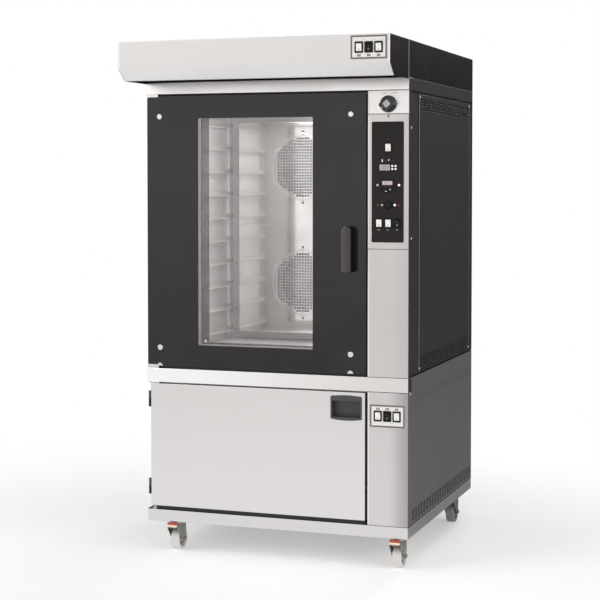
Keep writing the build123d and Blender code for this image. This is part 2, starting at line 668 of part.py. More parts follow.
def gasket(x, z, back, thick):
    """Rubber ring on the frame round a mouth."""
    inner_x = grown(x, GASKET_OFFSET)
    inner_z = grown(z, GASKET_OFFSET)
    block(grown(inner_x, GASKET_WIDTH), (back - thick, back), grown(inner_z, GASKET_WIDTH))
    block(inner_x, (back - thick, back), inner_z, mode=Mode.SUBTRACT)


# Door gaskets of the oven and the proofer
with BuildPart() as door_gaskets:
    gasket(CAVITY_X, CAVITY_Z, FRAME, DOOR_RECESS - DOOR_THICK - TOUCH_GAP)
    gasket(CHAMBER_X, CHAMBER_Z, FRAME, DOOR_RECESS - TRAY_DOOR_THICK - TOUCH_GAP)
finish(door_gaskets, "door_gaskets")

# Cavity lamp: round glass lens on the right wall, between the two upper rails
LAMP_RADIUS = 22
LAMP_DEPTH = 14
LAMP_BEHIND_BAFFLE = 86
lamp_z = RACK_BOTTOM + (RACK_LEVELS - 1.5) * RACK_PITCH + RAIL_GUIDE / 2
with BuildPart() as oven_lamp:
    rod_x((CAVITY_X[1] - LAMP_DEPTH, CAVITY_X[1]), BAFFLE_Y + LAMP_BEHIND_BAFFLE, lamp_z, LAMP_RADIUS)
    fillet(oven_lamp.edges().group_by(Axis.X)[0], 6)
finish(oven_lamp, "oven_lamp")

# Hinge brackets with pins, a small bracket over the proofer door, and the latch keeper
hinge_x = LEFT + HINGE_AT
hinge_y = FRONT + HINGE_AT
PIN_LENGTH = 14
shell_z = grown(DOOR_Z, -(BRACKET_OVERLAP + NOTCH_GAP + 1))
latch_z = HANDLE_Z[1] - HANDLE_WIDTH / 2
bracket_x = (LEFT + SHEET, LEFT + SHEET + BRACKET_LENGTH)
with BuildPart() as hinge_brackets:
    block(bracket_x, (FRONT, FRAME), (DOOR_Z[1] - BRACKET_OVERLAP, Z_TOP))
    rod_z(hinge_x, hinge_y, (shell_z[1] - PIN_LENGTH, Z_TOP), HINGE_PIN)
    block(bracket_x, (FRONT, FRAME), (Z_OVEN, DOOR_Z[0] + BRACKET_OVERLAP))
    rod_z(hinge_x, hinge_y, (Z_OVEN, shell_z[0] + PIN_LENGTH), HINGE_PIN)
    block((TRAY_DOOR_X[0], TRAY_DOOR_X[0] + BRACKET_LENGTH - 10), (FRONT + 1, FRAME), (Z_MID - 4, Z_MID))
    rod_y(HANDLE_X + KEEPER_AT, (FRAME - LATCH_THICK - 1, FRAME),
          latch_z + LATCH_HALF + 0.5 + KEEPER_RADIUS, KEEPER_RADIUS)
finish(hinge_brackets, "hinge_brackets")

# Oven door front: black glass sheet with the window cut out and notches for the hinge brackets
notch_x = BRACKET_LENGTH + NOTCH_SIDE_GAP
notch_z = BRACKET_OVERLAP + NOTCH_GAP
with BuildPart() as door_front:
    with BuildSketch(facing(FRONT)):
        with Locations((middle(DOOR_X), middle(DOOR_Z))):
            Rectangle(span(DOOR_X), span(DOOR_Z))
        for corner_z in (DOOR_Z[0] + notch_z / 2, DOOR_Z[1] - notch_z / 2):
            with Locations((DOOR_X[0] + notch_x / 2, corner_z)):
                Rectangle(notch_x, notch_z, mode=Mode.SUBTRACT)
        with Locations((middle(WINDOW_X), middle(WINDOW_Z))):
            RectangleRounded(span(WINDOW_X), span(WINDOW_Z), 4, mode=Mode.SUBTRACT)
        with Locations((HANDLE_X, latch_z)):
            Circle(LATCH_SHAFT + RUNNING_GAP, mode=Mode.SUBTRACT)
    extrude(amount=-GLASS_THICK)
    fillet(door_front.edges().filter_by(GeomType.LINE).group_by(Axis.Y)[0], 0.8)
finish(door_front, "oven_door_front")

# Oven door shell: steel tray behind the glass with the window tunnel and the hinge bosses
TUNNEL_WALL = 12
shell_x = grown(DOOR_X, -SHEET)
shell_y = (FRONT + GLASS_THICK, FRONT + DOOR_THICK)
outer_pane_y = (shell_y[0], shell_y[0] + PANE_THICK)
inner_pane_y = (shell_y[1] - SHEET - PANE_THICK, shell_y[1] - SHEET)
with BuildPart() as door_shell:
    block(shell_x, shell_y, shell_z)
    block(grown(shell_x, -SHEET), (shell_y[0], shell_y[1] - SHEET), grown(shell_z, -SHEET), mode=Mode.SUBTRACT)
    block(grown(WINDOW_X, TUNNEL_WALL), (outer_pane_y[1], inner_pane_y[0]), grown(WINDOW_Z, TUNNEL_WALL))
    block(grown(WINDOW_X, TUNNEL_WALL), inner_pane_y, grown(WINDOW_Z, TUNNEL_WALL))
    block(grown(WINDOW_X, PANE_LAP), inner_pane_y, grown(WINDOW_Z, PANE_LAP), mode=Mode.SUBTRACT)
    block(WINDOW_X, (outer_pane_y[1], shell_y[1]), WINDOW_Z, mode=Mode.SUBTRACT)
    for boss_z in ((shell_z[0], shell_z[0] + PIN_LENGTH + 4), (shell_z[1] - PIN_LENGTH - 4, shell_z[1])):
        block((shell_x[0], hinge_x + 12), (shell_y[0], hinge_y + 12), boss_z)
    for bore_z in ((shell_z[0], shell_z[0] + PIN_LENGTH + 1), (shell_z[1] - PIN_LENGTH - 1, shell_z[1])):
        rod_z(hinge_x, hinge_y, bore_z, HINGE_PIN + RUNNING_GAP, mode=Mode.SUBTRACT)
    rod_y(HANDLE_X, shell_y, latch_z, LATCH_SHAFT + RUNNING_GAP, mode=Mode.SUBTRACT)
finish(door_shell, "oven_door_shell")

# Oven door panes: the outer one behind the front sheet, the inner one held by the tray's back
with BuildPart() as door_panes:
    block(grown(WINDOW_X, PANE_LAP), outer_pane_y, grown(WINDOW_Z, PANE_LAP))
    block(grown(WINDOW_X, PANE_LAP), inner_pane_y, grown(WINDOW_Z, PANE_LAP))
finish(door_panes, "oven_door_panes")

# Oven door studs: four domed ones, two that the lower edge cuts in half, and two inner pane screws
with BuildPart() as door_studs:
    for stud_x in STUD_X:
        for stud_z in STUD_Z:
            rod_y(stud_x, (FRONT - STUD_HEIGHT, FRONT), stud_z, STUD_RADIUS)
    fillet(door_studs.edges().filter_by(GeomType.CIRCLE).group_by(Axis.Y)[0], 3)
    half_z = DOOR_Z[0] + 1
    for stud_x in STUD_X:
        with BuildSketch(facing(FRONT)):
            with Locations((stud_x, half_z)):
                Circle(STUD_RADIUS)
                with Locations((0, -STUD_RADIUS / 2)):
                    Rectangle(3 * STUD_RADIUS, STUD_RADIUS, mode=Mode.SUBTRACT)
        extrude(amount=STUD_HEIGHT)
    for screw_x in grown(WINDOW_X, -PANE_SCREW_INSET[0]):
        rod_y(screw_x, (inner_pane_y[0] - 3, inner_pane_y[0]), WINDOW_Z[0] + PANE_SCREW_INSET[1], 5.5)
finish(door_studs, "oven_door_studs")

# Lever handle: deep rounded bar that turns on a shaft through the door, with the latch arm behind
latch_y = (FRONT + DOOR_THICK + 0.8, FRONT + DOOR_THICK + 0.8 + LATCH_THICK)
with BuildPart() as oven_handle:
    with BuildSketch(facing(FRONT - HANDLE_GAP)):
        with Locations((HANDLE_X, middle((HANDLE_Z[0], latch_z)))):
            Rectangle(HANDLE_WIDTH, latch_z - HANDLE_Z[0])
        with Locations((HANDLE_X, latch_z)):
            Circle(HANDLE_WIDTH / 2)
    extrude(amount=HANDLE_REACH - HANDLE_GAP)
    chamfer(oven_handle.edges().group_by(Axis.Y)[0], HANDLE_BEVEL)
    rod_y(HANDLE_X, (FRONT - HANDLE_GAP, FRONT - TOUCH_GAP), latch_z, HANDLE_BOSS)
    rod_y(HANDLE_X, (FRONT - HANDLE_GAP, latch_y[1]), latch_z, LATCH_SHAFT)
    block((HANDLE_X, HANDLE_X + LATCH_ARM), latch_y, grown((latch_z, latch_z), LATCH_HALF))
finish(oven_handle, "oven_handle")

# Proofer door: folded outer skin and flat inner panel
tray_y = (FRONT, FRONT + TRAY_DOOR_THICK)
with BuildPart() as proofer_door:
    block(TRAY_DOOR_X, (tray_y[0], tray_y[1] - SHEET), TRAY_DOOR_Z)
    fillet(proofer_door.edges().filter_by(Axis.Z).group_by(Axis.Y)[0], 2.5)
    fillet(proofer_door.edges().filter_by(Axis.X).group_by(Axis.Y)[0], 2)
    block(grown(TRAY_DOOR_X, -SHEET), (tray_y[0] + SHEET, tray_y[1] - SHEET), grown(TRAY_DOOR_Z, -SHEET),
          mode=Mode.SUBTRACT)
    block(grown(PULL_X, -PULL_FLANGE), (tray_y[0], tray_y[0] + SHEET), grown(PULL_Z, -PULL_FLANGE),
          mode=Mode.SUBTRACT)
    inner_panel = Box(span(TRAY_DOOR_X), SHEET, span(TRAY_DOOR_Z), mode=Mode.PRIVATE).moved(
        Location((middle(TRAY_DOOR_X), tray_y[1] - SHEET / 2, middle(TRAY_DOOR_Z))))
proofer_door.part.label = "proofer_door"
export_step(Compound(children=[proofer_door.part, inner_panel], label="proofer_door"), "parts/proofer_door.step")

# Proofer door fittings: recessed pull and the door halves of the two hinges with their pins
knuckle_x = LEFT + KNUCKLE_AT
knuckle_y = FRONT + KNUCKLE_AT
pocket_x = grown(PULL_X, -(PULL_FLANGE + PULL_WALL))
pocket_z = grown(PULL_Z, -(PULL_FLANGE + PULL_WALL))
with BuildPart() as pull_and_knuckles:
    block(grown(PULL_X, -PULL_FLANGE), (tray_y[0], tray_y[0] + PULL_DEPTH), grown(PULL_Z, -PULL_FLANGE))
    with BuildSketch(facing(FRONT)):
        with BuildLine():
            Line((PULL_X[0], PULL_Z[0]), (PULL_X[0], PULL_Z[1] - 6))
            ThreePointArc((PULL_X[0], PULL_Z[1] - 6), (middle(PULL_X), PULL_Z[1]), (PULL_X[1], PULL_Z[1] - 6))
            Line((PULL_X[1], PULL_Z[1] - 6), (PULL_X[1], PULL_Z[0]))
            ThreePointArc((PULL_X[1], PULL_Z[0]), (middle(PULL_X), PULL_Z[0] - 5), (PULL_X[0], PULL_Z[0]))
        make_face()
    extrude(amount=SHEET)
    block(pocket_x, (tray_y[0] - SHEET, tray_y[0] + PULL_DEPTH - PULL_WALL), (pocket_z[0], pocket_z[1] - PULL_LIP),
          mode=Mode.SUBTRACT)
    block(pocket_x, (tray_y[0] + PULL_WALL, tray_y[0] + PULL_DEPTH - PULL_WALL), pocket_z, mode=Mode.SUBTRACT)
    for knuckle_z in KNUCKLE_Z:
        upper = (knuckle_z + 0.25, knuckle_z + KNUCKLE_HALF)
        rod_z(knuckle_x, knuckle_y, upper, KNUCKLE_RADIUS)
        block((knuckle_x, TRAY_DOOR_X[0]), around(knuckle_y, 9), upper)
        rod_z(knuckle_x, knuckle_y, (knuckle_z - KNUCKLE_HALF + 6, upper[1]), KNUCKLE_PIN)
finish(pull_and_knuckles, "proofer_pull_and_knuckles")

# Fixed halves of the proofer door's hinges
with BuildPart() as proofer_hinges:
    for knuckle_z in KNUCKLE_Z:
        lower = (knuckle_z - KNUCKLE_HALF, knuckle_z - 0.25)
        rod_z(knuckle_x, knuckle_y, lower, KNUCKLE_RADIUS)
        block((knuckle_x - KNUCKLE_RADIUS, knuckle_x + 4), (knuckle_y, FRAME), lower)
        rod_z(knuckle_x, knuckle_y, (lower[0] + 4, lower[1]), KNUCKLE_PIN + RUNNING_GAP, mode=Mode.SUBTRACT)
finish(proofer_hinges, "proofer_hinges")

# Turning knob: round skirt, turned oblong grip, spindle through the panel
with BuildPart() as knob:
    knob_y = FRONT - TOUCH_GAP
    rod_y(KNOB_AT[0], (knob_y - KNOB_SKIRT, knob_y), KNOB_AT[1], KNOB_RADIUS)
    fillet(knob.edges().group_by(Axis.Y)[0], 2)
    with BuildSketch(facing(knob_y - KNOB_SKIRT)):
        with Locations(Location((KNOB_AT[0], KNOB_AT[1], 0), (0, 0, KNOB_TURN))):
            RectangleRounded(*KNOB_GRIP, 9)
    extrude(amount=KNOB_HEIGHT - KNOB_SKIRT, taper=4)
    fillet(knob.faces().sort_by(Axis.Y)[0].edges(), 2)
    rod_y(KNOB_AT[0], (knob_y, FRONT + 14), KNOB_AT[1], KNOB_SPINDLE)
finish(knob, "timer_knob")


def rocker_window(x, z, face_y, depth):
    """Raised bezel with the opening that a rocker works in."""
    block(around(x, ROCKER_WIDTH + 2 * BEZEL_RIM), (face_y - BEZEL_HEIGHT, face_y),
          around(z, 2 * (ROCKER_RADIUS + BEZEL_RIM)))
    block(around(x, ROCKER_WIDTH + 2 * TOUCH_GAP), (face_y - BEZEL_HEIGHT, face_y + depth),
          around(z, 2 * (ROCKER_RADIUS + TOUCH_GAP)), mode=Mode.SUBTRACT)


def rocker(x, z, face_y, name):
    """Rocker whose round ends turn about a pivot just behind the plate's face."""
    tilt = radians(ROCKER_TILT)
    with BuildPart() as piece:
        pivot = Plane(origin=(x - ROCKER_WIDTH / 2, face_y + ROCKER_PIVOT, z),
                      x_dir=(0, cos(tilt), sin(tilt)), z_dir=(1, 0, 0))
        with BuildSketch(pivot):
            Circle(ROCKER_RADIUS)
            with BuildLine(mode=Mode.PRIVATE) as outline:
                Polyline((5, -14), (5, 14), (-7, 14), (-5, 0), (-7, -14), close=True)
            make_face(outline.edges(), mode=Mode.INTERSECT)
        extrude(amount=ROCKER_WIDTH)
    finish(piece, name)


# Control plate with rocker bezels and button holes
plate_face = FRONT - PLATE_THICK
TOP_ROCKER = (LEFT + 889.5, 1431)
ROW_ROCKERS_Z = 1177
row_rockers = [(LEFT + 858, ROW_ROCKERS_Z), (LEFT + 890, ROW_ROCKERS_Z), (LEFT + 922, ROW_ROCKERS_Z)]
display_buttons = [(LEFT + x, z) for z in (1369, 1359) for x in (904.5, 916)]
ROUND_BUTTON = (LEFT + 892, 1238)
with BuildPart() as control_plate:
    block(PLATE_X, (plate_face, FRONT), PLATE_Z)
    fillet(control_plate.edges().filter_by(Axis.Y), 5)
    for x, z in [TOP_ROCKER, *row_rockers]:
        rocker_window(x, z, plate_face, PLATE_THICK)
    for x, z in display_buttons:
        rod_y(x, (plate_face, FRONT), z, BUTTON_RADIUS + TOUCH_GAP, mode=Mode.SUBTRACT)
    rod_y(ROUND_BUTTON[0], (plate_face, FRONT), ROUND_BUTTON[1], ROUND_BUTTON_RADIUS + TOUCH_GAP,
          mode=Mode.SUBTRACT)
finish(control_plate, "control_plate")

# Displays and pilot lamps on the control plate
DISPLAY_THICK = 1.5
LAMP_HEIGHT = 3
PILOT_RADIUS = 4.5
displays = (((LEFT + 878, 1364), (37, 20)), ((LEFT + 887, 1312), (35, 13)))
pilots = [(LEFT + 853, 1305), (LEFT + 928, 1305), (LEFT + 855, 1238), (LEFT + 869, 1238),
          (LEFT + 913, 1238), (LEFT + 926, 1238)]
with BuildPart() as displays_and_lamps:
    for (x, z), (wide, high) in displays:
        block(around(x, wide), (plate_face - DISPLAY_THICK, plate_face), around(z, high))
    for x, z in pilots:
        rod_y(x, (plate_face - LAMP_HEIGHT, plate_face), z, PILOT_RADIUS)
    fillet(displays_and_lamps.edges().filter_by(GeomType.CIRCLE).group_by(Axis.Y)[0], 2)
finish(displays_and_lamps, "displays_and_lamps")

# Rockers and buttons of the control plate
for name, (x, z) in zip(("top", "left", "middle", "right"), [TOP_ROCKER, *row_rockers]):
    rocker(x, z, plate_face, f"rocker_panel_{name}")
for number, (x, z) in enumerate(display_buttons, start=1):
    with BuildPart() as button:
        rod_y(x, (plate_face - BUTTON_PROUD, plate_face - BUTTON_PROUD + BUTTON_LENGTH), z, BUTTON_RADIUS)
        fillet(button.edges().group_by(Axis.Y)[0], 0.8)
    finish(button, f"display_button_{number}")
with BuildPart() as round_button:
    button_front = plate_face - ROUND_BUTTON_PROUD
    rod_y(ROUND_BUTTON[0], (button_front, button_front + ROUND_BUTTON_LENGTH), ROUND_BUTTON[1],
          ROUND_BUTTON_RADIUS)
    fillet(round_button.edges().group_by(Axis.Y)[0], 2)
finish(round_button, "round_button")

# Switch plates of the proofer and the hood, each with three rockers
visor_front = FRONT - VISOR_REACH
switch_sets = {"proofer": (PROOFER_SWITCH, FRONT), "hood": (HOOD_SWITCH, visor_front)}
with BuildPart() as switch_plates:
    for (x, z), back in switch_sets.values():
        face = back - SWITCH_PLATE_THICK
        block(around(x, SWITCH_PLATE[0]), (face, back), around(z, SWITCH_PLATE[1]))
        for step in (-1, 0, 1):
            rocker_window(x + step * ROCKER_PITCH, z, face, SWITCH_PLATE_THICK)
finish(switch_plates, "switch_plates")
for owner, ((x, z), back) in switch_sets.items():
    for name, step in (("left", -1), ("middle", 0), ("right", 1)):
        rocker(x + step * ROCKER_PITCH, z, back - SWITCH_PLATE_THICK, f"rocker_{owner}_{name}")

# Hood box: dark side sheets with cheeks beside the visor, front, back, floor and roof sheets between them,
# and the exhaust collar on the roof
visor_bottom = Z_HOOD - VISOR_DROP
visor_fold = Z_ROOF - VISOR_FACE
hood_inside_x = (LEFT + SHEET, RIGHT - SHEET)
collar_at = (0, BACK - COLLAR_BACK)
with BuildPart() as hood_sides:
    for edge, inward in ((LEFT, 1), (RIGHT, -1)):
        block(sorted((edge, edge + inward * SHEET)), (FRONT, BACK), (Z_HOOD, Z_ROOF))
        with BuildSketch(sideways(edge)):
            with BuildLine():
                Polyline(
                    (visor_front, Z_ROOF), (visor_front, visor_fold),
                    (visor_front + VISOR_SLANT, visor_bottom), (FRONT - SEAM, visor_bottom),
                    (FRONT - SEAM, Z_ROOF), close=True)
            make_face()
        extrude(amount=inward * SHEET)
with BuildPart() as hood_ends:
    block(hood_inside_x, (FRONT, FRONT + SHEET), (Z_HOOD, Z_ROOF))
    block(FILTER_X, (FRONT, FRONT + SHEET), FILTER_Z, mode=Mode.SUBTRACT)
    block(hood_inside_x, (BACK - SHEET, BACK), (Z_HOOD, Z_ROOF))
with BuildPart() as hood_levels:
    for sheet_z in ((Z_HOOD, Z_HOOD + SHEET), (Z_ROOF - SHEET, Z_ROOF)):
        block(hood_inside_x, (FRONT + SHEET, BACK - SHEET), sheet_z)
    rod_z(*collar_at, (Z_ROOF - SHEET, Z_ROOF), COLLAR_RADIUS - SHEET, mode=Mode.SUBTRACT)
with BuildPart() as hood_collar:
    rod_z(*collar_at, (Z_ROOF, Z_ROOF + COLLAR_HEIGHT), COLLAR_RADIUS)
    rod_z(*collar_at, (Z_ROOF, Z_ROOF + COLLAR_HEIGHT), COLLAR_RADIUS - SHEET, mode=Mode.SUBTRACT)
finish_group([hood_sides, hood_ends, hood_levels, hood_collar], "hood_box")

# Hood visor: folded stainless sheet between the cheeks, open below
with BuildPart() as hood_visor:
    with BuildSketch(sideways(LEFT + SHEET)):
        with BuildLine():
            Polyline(
                (FRONT, Z_ROOF), (visor_front, Z_ROOF), (visor_front, visor_fold),
                (visor_front + VISOR_SLANT, visor_bottom), (visor_front + VISOR_SLANT + 14, visor_bottom),
                (visor_front + VISOR_SLANT + 14, visor_bottom + SHEET),
                (visor_front + VISOR_SLANT + 1, visor_bottom + SHEET),
                (visor_front + SHEET, visor_fold + 1), (visor_front + SHEET, Z_ROOF - SHEET),
                (FRONT, Z_ROOF - SHEET), close=True)
        make_face()
    extrude(amount=WIDTH - 2 * SHEET)
    block(around(HOOD_SWITCH[0], SWITCH_HOLE[0]), (visor_front, visor_front + SHEET),
          around(HOOD_SWITCH[1], SWITCH_HOLE[1]), mode=Mode.SUBTRACT)
    fillet(hood_visor.edges().filter_by(Axis.X).group_by(Axis.Y)[0], 1.5)
finish(hood_visor, "hood_visor")

# Grease filter in the hood's front wall: frame with upright slats
with BuildPart() as hood_filter:
    block(grown(FILTER_X, -TOUCH_GAP), (FRONT, FRONT + FILTER_THICK), grown(FILTER_Z, -TOUCH_GAP))
    with BuildSketch(facing(FRONT)):
        with Locations((middle(FILTER_X), middle(FILTER_Z))):
            with GridLocations((span(FILTER_X) - 30) / FILTER_SLATS, 0, FILTER_SLATS, 1):
                Rectangle(20, span(FILTER_Z) - 24)
    extrude(amount=-FILTER_THICK, mode=Mode.SUBTRACT)
finish(hood_filter, "hood_filter")
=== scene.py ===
from math import cos, pi, radians, sin

import bmesh
import bpy
from mathutils import Matrix, Vector


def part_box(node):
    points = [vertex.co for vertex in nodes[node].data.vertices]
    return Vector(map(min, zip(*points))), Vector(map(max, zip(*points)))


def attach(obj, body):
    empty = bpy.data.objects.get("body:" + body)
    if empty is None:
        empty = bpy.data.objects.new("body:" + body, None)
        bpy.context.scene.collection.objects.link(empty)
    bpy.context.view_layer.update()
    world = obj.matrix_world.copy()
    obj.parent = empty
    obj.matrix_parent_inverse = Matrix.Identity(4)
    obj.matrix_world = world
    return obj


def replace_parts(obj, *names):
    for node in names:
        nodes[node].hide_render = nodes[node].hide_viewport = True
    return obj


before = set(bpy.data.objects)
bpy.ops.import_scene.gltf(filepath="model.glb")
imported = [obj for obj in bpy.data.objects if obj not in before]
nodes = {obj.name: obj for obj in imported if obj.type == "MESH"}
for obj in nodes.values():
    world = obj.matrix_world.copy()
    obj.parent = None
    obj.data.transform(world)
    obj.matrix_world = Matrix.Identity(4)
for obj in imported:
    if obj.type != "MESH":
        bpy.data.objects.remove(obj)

scene = bpy.context.scene
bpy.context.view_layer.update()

# Places are in millimetres: x from the left side, y behind the front plane, z above the floor
MM = 0.001
WIDTH = 960
LEFT_SIDE = -480
FRONT_PLANE = -365.15
BACK_PLANE = 945
VISOR_FRONT = -228

# Levels and edges that the details line up with
HOOD_BOTTOM = 1665
HOOD_TOP = 1791
VISOR_FOLD = 1699
VISOR_LIP = 1660
VISOR_SLANT = 46
KNOB_PANEL = (1544, 1624)
MID_BAND = (605, 654)
WINDOW_X = (194, 621)
WINDOW_Z = (741, 1537)
INNER_PANE_FRONT = 34
GUARD_FRONT = 486
COVER_Y = (138, 893)
COVER_Z = (664, 1615)
FAN_X = 417
FAN_HEIGHTS = (936, 1370)

# Controls, screws and casters
KNOB_PLACE = (889.5, 1577)
TOP_ROCKER = (889.5, 1431)
LOW_ROCKERS = (858, 890, 922)
LOW_ROCKER_Z = 1177
SWITCH_ROCKERS = (-33, 0, 33)
SIDE_SCREW = 4.5
SHEET_SCREW = 3.5
SCREW_HEIGHT = 2.2
WHEEL_HALF_WIDTH = 7.5
WHEEL_CENTRE = 40
CASTER_TRAIL = 24

# Edges that bend less than this many degrees are shaded smooth; a dome is this share of a head's height
SMOOTH_ANGLE = 35
CROWN = 0.35

# The two sides: name, its x, and 1 where the face's own x runs to the back or -1 where it runs to the front
SIDES = (("right", WIDTH, 1), ("left", 0, -1))


def place(x, y, z):
    """Point of the shared frame, in metres."""
    return Vector(((x + LEFT_SIDE) * MM, (y + FRONT_PLANE) * MM, z * MM))


def face(side, x, y, z):
    """Matrix of a flat face, in millimetres: its x runs right, its y up, its z out of the machine."""
    turns = {"front": 0, "right": 90, "back": 180, "left": -90}
    turned = Matrix.Rotation(radians(turns[side]), 4, "Z") @ Matrix.Rotation(radians(90), 4, "X")
    return Matrix.Translation(place(x, y, z)) @ turned @ Matrix.Scale(MM, 4)


# Building shapes on a face

def only_verts(geometry):
    """The vertices among the parts that an operator returns."""
    return [part for part in geometry if isinstance(part, bmesh.types.BMVert)]


def rounded_slab(shape, width, height, depth, corner=0, edge=0, at=(0, 0), base=0, tilt=0):
    """Plate with round corners and a softened front edge."""
    middle = Matrix.Translation((at[0], at[1], base + depth / 2)) @ Matrix.Rotation(radians(tilt), 4, "Z")
    made = bmesh.ops.create_cube(shape, size=1, matrix=middle @ Matrix.Diagonal((width, height, depth, 1)))
    edges = {e for v in made["verts"] for e in v.link_edges}
    if corner:
        upright = [e for e in edges if abs(e.verts[0].co.z - e.verts[1].co.z) > depth / 2]
        rounded = bmesh.ops.bevel(shape, geom=upright, offset=corner, segments=5, profile=0.5,
                                  affect="EDGES", material=-1)
        edges = {e for f in rounded["faces"] for v in f.verts for e in v.link_edges}
        edges |= {e for v in made["verts"] if v.is_valid for e in v.link_edges}
    if edge:
        front = [e for e in edges if min(v.co.z for v in e.verts) > base + depth * 0.99]
        bmesh.ops.bevel(shape, geom=front, offset=edge, segments=3, profile=0.5, affect="EDGES", material=-1)


def rounded_frame(shape, width, height, rim, depth, corner, edge, at=(0, 0)):
    """Flat ring round an opening, with softened corners and front edges."""
    middle = Matrix.Translation((at[0], at[1], 0)) @ Matrix.Diagonal((width, height, 1, 1))
    made = bmesh.ops.create_grid(shape, x_segments=1, y_segments=1, size=0.5, matrix=middle)
    sheet = made["verts"][0].link_faces[0]
    ring = bmesh.ops.inset_region(shape, faces=[sheet], thickness=rim, use_boundary=True,
                                  use_even_offset=True)["faces"]
    bmesh.ops.delete(shape, geom=[sheet], context="FACES_ONLY")
    raised = bmesh.ops.extrude_face_region(shape, geom=ring)["geom"]
    bmesh.ops.translate(shape, verts=only_verts(raised), vec=(0, 0, depth))
    top = {f for f in raised if isinstance(f, bmesh.types.BMFace)}
    walls = {f for top_face in top for e in top_face.edges for f in e.link_faces}
    upright = {e for f in walls for e in f.edges if abs(e.verts[0].co.z - e.verts[1].co.z) > depth / 2}
    outer = [e for e in upright if max(abs(e.verts[0].co.x - at[0]) - width / 2,
                                       abs(e.verts[0].co.y - at[1]) - height / 2) > -rim / 2]
    rounded = bmesh.ops.bevel(shape, geom=outer, offset=corner, segments=5, profile=0.5,
                              affect="EDGES", material=-1)
    walls |= set(rounded["faces"])
    front = [e for e in {e for f in walls if f.is_valid for e in f.edges}
             if min(v.co.z for v in e.verts) > depth * 0.99 and e.calc_face_angle(0) > 1]
    bmesh.ops.bevel(shape, geom=front, offset=edge, segments=2, profile=0.5, affect="EDGES", material=-1)


def turned(shape, profile, at=(0, 0), steps=32):
    """Round shape turned from (radius, height) points: a solid from axis to axis, or a closed ring."""
    corners = [shape.verts.new((at[0] + radius, at[1], height)) for radius, height in profile]
    edges = [shape.edges.new(pair) for pair in zip(corners, corners[1:])]
    bmesh.ops.spin(shape, geom=corners + edges, cent=(at[0], at[1], 0), axis=(0, 0, 1), angle=2 * pi,
                   steps=steps, use_merge=True)


def domed(radius, height):
    """Profile of a screw head or a lens: straight side, then a low dome."""
    side = height * (1 - CROWN)
    points = [(0, 0), (radius, 0), (radius, side)]
    for step in (25, 50, 70):
        rise = radians(step)
        points.append((radius * cos(rise), side + (height - side) * sin(rise)))
    return points + [(0, height)]


def finish_piece(name, shape, where, material, body):
    """Merges doubled points of a shape, puts it in its place and lets it ride on a body."""
    bmesh.ops.remove_doubles(shape, verts=shape.verts, dist=0.001)
    bmesh.ops.recalc_face_normals(shape, faces=shape.faces)
    shape.transform(where)
    mesh = bpy.data.meshes.new(name)
    shape.to_mesh(mesh)
    shape.free()
    mesh.shade_smooth()
    mesh.set_sharp_from_angle(angle=radians(SMOOTH_ANGLE))
    mesh.materials.append(material)
    piece = bpy.data.objects.new(name, mesh)
    scene.collection.objects.link(piece)
    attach(piece, body)
    return piece


def plates(name, where, material, sizes, body="cabinet"):
    """Piece of small plates: (x, z), (width, height, depth), corner, edge, base, tilt."""
    shape = bmesh.new()
    for at, (width, height, depth), corner, edge, base, tilt in sizes:
        rounded_slab(shape, width, height, depth, corner, edge, at, base, tilt)
    return finish_piece(name, shape, where, material, body)


def lenses(name, where, material, places, radius, height, body="cabinet"):
    """Piece of low round domes."""
    shape = bmesh.new()
    for at in places:
        turned(shape, domed(radius, height), at, 24)
    return finish_piece(name, shape, where, material, body)


# Shared effects, as node groups

def new_group(name, inputs, outputs):
    """Empty shader group with float inputs (name, value) and outputs (name, kind)."""
    group = bpy.data.node_groups.new(name, "ShaderNodeTree")
    for label, value in inputs:
        socket = group.interface.new_socket(name=label, in_out="INPUT", socket_type="NodeSocketFloat")
        socket.default_value = value
    for label, kind in outputs:
        group.interface.new_socket(name=label, in_out="OUTPUT", socket_type=kind)
    return group, group.nodes.new("NodeGroupInput"), group.nodes.new("NodeGroupOutput")


def noise(tree, vector, scale, detail=3, roughness=0.55):
    """Noise texture on a vector, giving its Fac output."""
    texture = tree.nodes.new("ShaderNodeTexNoise")
    texture.inputs["Detail"].default_value = detail
    texture.inputs["Roughness"].default_value = roughness
    if isinstance(scale, (int, float)):
        texture.inputs["Scale"].default_value = scale
    else:
        tree.links.new(scale, texture.inputs["Scale"])
    tree.links.new(vector, texture.inputs["Vector"])
    return texture.outputs["Fac"]


def stretched(tree, scale):
    """Object coordinates, scaled along each axis."""
    where = tree.nodes.new("ShaderNodeTexCoord")
    mapping = tree.nodes.new("ShaderNodeMapping")
    mapping.inputs["Scale"].default_value = scale
    tree.links.new(where.outputs["Object"], mapping.inputs["Vector"])
    return mapping.outputs["Vector"]


def arithmetic(tree, operation, *values):
    """Math node on sockets or numbers."""
    node = tree.nodes.new("ShaderNodeMath")
    node.operation = operation
    for socket, value in zip(node.inputs, values):
        if isinstance(value, (int, float)):
            socket.default_value = value
        else:
            tree.links.new(value, socket)
    return node.outputs[0]


def ranged(tree, value, low, high, to_low=0.0, to_high=1.0):
    """Smooth step of a value from one range to another."""
    node = tree.nodes.new("ShaderNodeMapRange")
    node.interpolation_type = "SMOOTHSTEP"
    for label, number in (("From Min", low), ("From Max", high), ("To Min", to_low), ("To Max", to_high)):
        node.inputs[label].default_value = number
    tree.links.new(value, node.inputs["Value"])
    return node.outputs["Result"]


